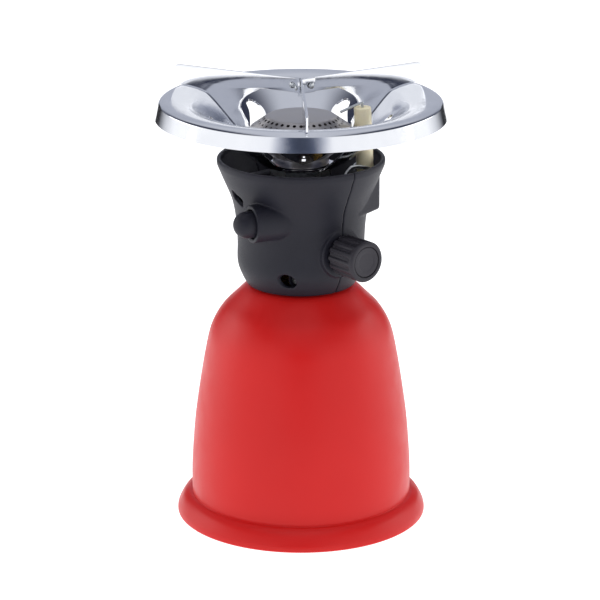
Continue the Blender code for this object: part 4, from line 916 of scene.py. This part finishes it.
# ---- studio ----
def studio():
    """Pale floor, soft boxes either side and behind, and the camera."""
    bm = bmesh.new()
    bmesh.ops.create_grid(bm, x_segments=1, y_segments=1, size=6.0)
    floor = from_bmesh("studio_floor", bm)
    made, tree, shader, at = started("matt_white_board", 0.9)
    fibre = add(tree, "ShaderNodeTexNoise", {"Vector": at, "Scale": 1 / (30 * MM), "Detail": 2.0})
    colour = add(tree, "ShaderNodeMix", {0: fibre.outputs["Fac"], 6: linear("#AFAFAF"),
                                          7: linear("#B3B3B3")}, data_type="RGBA")
    feed(tree, shader, "Base Color", colour.outputs[2])
    shader.inputs["Emission Color"].default_value = (1.0, 1.0, 1.0, 1.0)
    shader.inputs["Emission Strength"].default_value = 1.08
    floor.data.materials.append(made)
    grey, tree, shader, at = started("graded_grey_card", 0.95)
    shader.inputs["Base Color"].default_value = linear("#101012")
    across = add(tree, "ShaderNodeSeparateXYZ", {0: at})
    part_way = add(tree, "ShaderNodeMapRange", {"Value": across.outputs["X"], "From Max": 0.91})
    tone = add(tree, "ShaderNodeValToRGB", {0: part_way.outputs["Result"]})
    stops = ((0.0, "#F4F5F7"), (0.30, "#F4F5F7"), (0.50, "#C9CBD0"), (0.66, "#6A6C72"), (0.74, "#17181C"),
             (1.0, "#0E0F12"))
    while len(tone.color_ramp.elements) < len(stops):
        tone.color_ramp.elements.new(0.5)
    for element, (place_at, colour) in zip(tone.color_ramp.elements, stops):
        element.position = place_at
        element.color = linear(colour)
    feed(tree, shader, "Emission Color", tone.outputs["Color"])
    shader.inputs["Emission Strength"].default_value = 1.25

    aim = Vector((0, 0, 0.11))
    boxes = [("soft_left", azimuth(160.0) * 0.95 + Vector((0, 0, 0.30)), 0.7, 0.6, 2.4, True),
             ("soft_right", azimuth(20.0) * 0.95 + Vector((0, 0, 0.30)), 0.7, 0.6, 2.4, True),
             ("soft_top", Vector((0.0, -0.35, 1.25)), 1.0, 0.8, 3.2, False)]
    for name, spot, width, height, watts, mirrored in boxes:
        lamp = bpy.data.lights.new(name, "AREA")
        lamp.shape = "RECTANGLE"
        lamp.size = width
        lamp.size_y = height
        lamp.energy = watts
        held = bpy.data.objects.new(name, lamp)
        held.location = spot
        held.rotation_euler = (spot - aim).to_track_quat("Z", "Y").to_euler()
        held.visible_glossy = mirrored
        bpy.context.scene.collection.objects.link(held)

    room = bpy.data.worlds.new("white_room")
    room.use_nodes = True
    bpy.context.scene.world = room
    tree = room.node_tree
    toward = add(tree, "ShaderNodeTexCoord").outputs["Generated"]
    split = add(tree, "ShaderNodeSeparateXYZ", {0: toward})
    flat = add(tree, "ShaderNodeVectorMath", {0: toward, 1: (1.0, 1.0, 0.0)}, operation="MULTIPLY")
    level = add(tree, "ShaderNodeVectorMath", {0: flat.outputs[0]}, operation="NORMALIZE")
    facing = add(tree, "ShaderNodeVectorMath", {0: level.outputs[0], 1: (0.0, -1.0, 0.0)},
                 operation="DOT_PRODUCT")
    spread = add(tree, "ShaderNodeMapRange", {"Value": facing.outputs["Value"], "From Min": -1.0,
                                              "From Max": 1.0})
    around = add(tree, "ShaderNodeValToRGB", {0: spread.outputs["Result"]})
    ramp = around.color_ramp
    stops = ((0.0, "#A4A8B4"), (0.03, "#9A9EAA"), (0.07, "#646874"), (0.13, "#4C505C"), (0.22, "#D5D8DD"),
             (0.40, "#F4F5F7"), (0.80, "#F4F5F7"), (0.955, "#F0F1F4"), (0.975, "#B4B8C4"),
             (0.9925, "#4E5568"), (1.0, "#3A4050"))
    while len(ramp.elements) < len(stops):
        ramp.elements.new(0.5)
    for element, (place_at, colour) in zip(ramp.elements, stops):
        element.position = place_at
        element.color = linear(colour)
    # above the soft boxes the room is dim: dark blue either side, grey overhead
    aside = add(tree, "ShaderNodeMath", {0: split.outputs["X"]}, operation="ABSOLUTE")
    beside = add(tree, "ShaderNodeMapRange", {"Value": aside.outputs[0], "From Min": 0.25, "From Max": 0.60},
                 interpolation_type="SMOOTHSTEP")
    ceiling = add(tree, "ShaderNodeMix", {0: beside.outputs["Result"], 6: linear("#B6B9C2"),
                                          7: linear("#303444")}, data_type="RGBA")
    high = add(tree, "ShaderNodeMapRange", {"Value": split.outputs["Z"], "From Min": 0.42, "From Max": 0.62},
               interpolation_type="SMOOTHSTEP")
    sky = add(tree, "ShaderNodeMix", {0: high.outputs["Result"], 6: around.outputs["Color"],
                                      7: ceiling.outputs[2]}, data_type="RGBA")
    tree.links.new(sky.outputs[2], tree.nodes["Background"].inputs["Color"])
    tree.nodes["Background"].inputs["Strength"].default_value = 1.25

    for side in (-1.0, 1.0):
        near = Vector((side * 0.80, 0.02, 0.0))
        far = Vector((side * 0.33, 0.80, 0.0))
        along = far - near
        card = prism(f"graded_card_{'left' if side < 0 else 'right'}",
                     [(0.0, 0.0), (along.length, 0.0), (along.length, 0.36), (0.0, 0.36)], -0.002, 0.002)
        card.location = near
        card.rotation_euler = (math.radians(90.0), 0.0, math.atan2(along.y, along.x))
        card.data.materials.append(grey)
        card.visible_camera = card.visible_shadow = card.visible_diffuse = False

    lens = bpy.data.cameras.new("camera")
    lens.sensor_width = 36.0
    lens.lens = 174.0
    lens.shift_x = -1.0 / 600.0
    lens.clip_end = 20.0
    view = bpy.data.objects.new("camera", lens)
    view.location = (0.0, -1.3506, 0.5340)
    view.rotation_euler = (Vector((0, 0, 0.1081)) - view.location).to_track_quat("-Z", "Y").to_euler()
    bpy.context.scene.collection.objects.link(view)
    bpy.context.scene.camera = view
    bpy.context.scene.view_settings.view_transform = "Standard"


studio()
RIM, RIM_FACING = rim_frame()
bell()
housing_half("housing_igniter_side", "housing_front", -1.0)
housing_half("housing_electrode_side", "housing_back", 1.0)
knob()
button()
ignition()
burner()
dish()
supports()
plain_nodes()
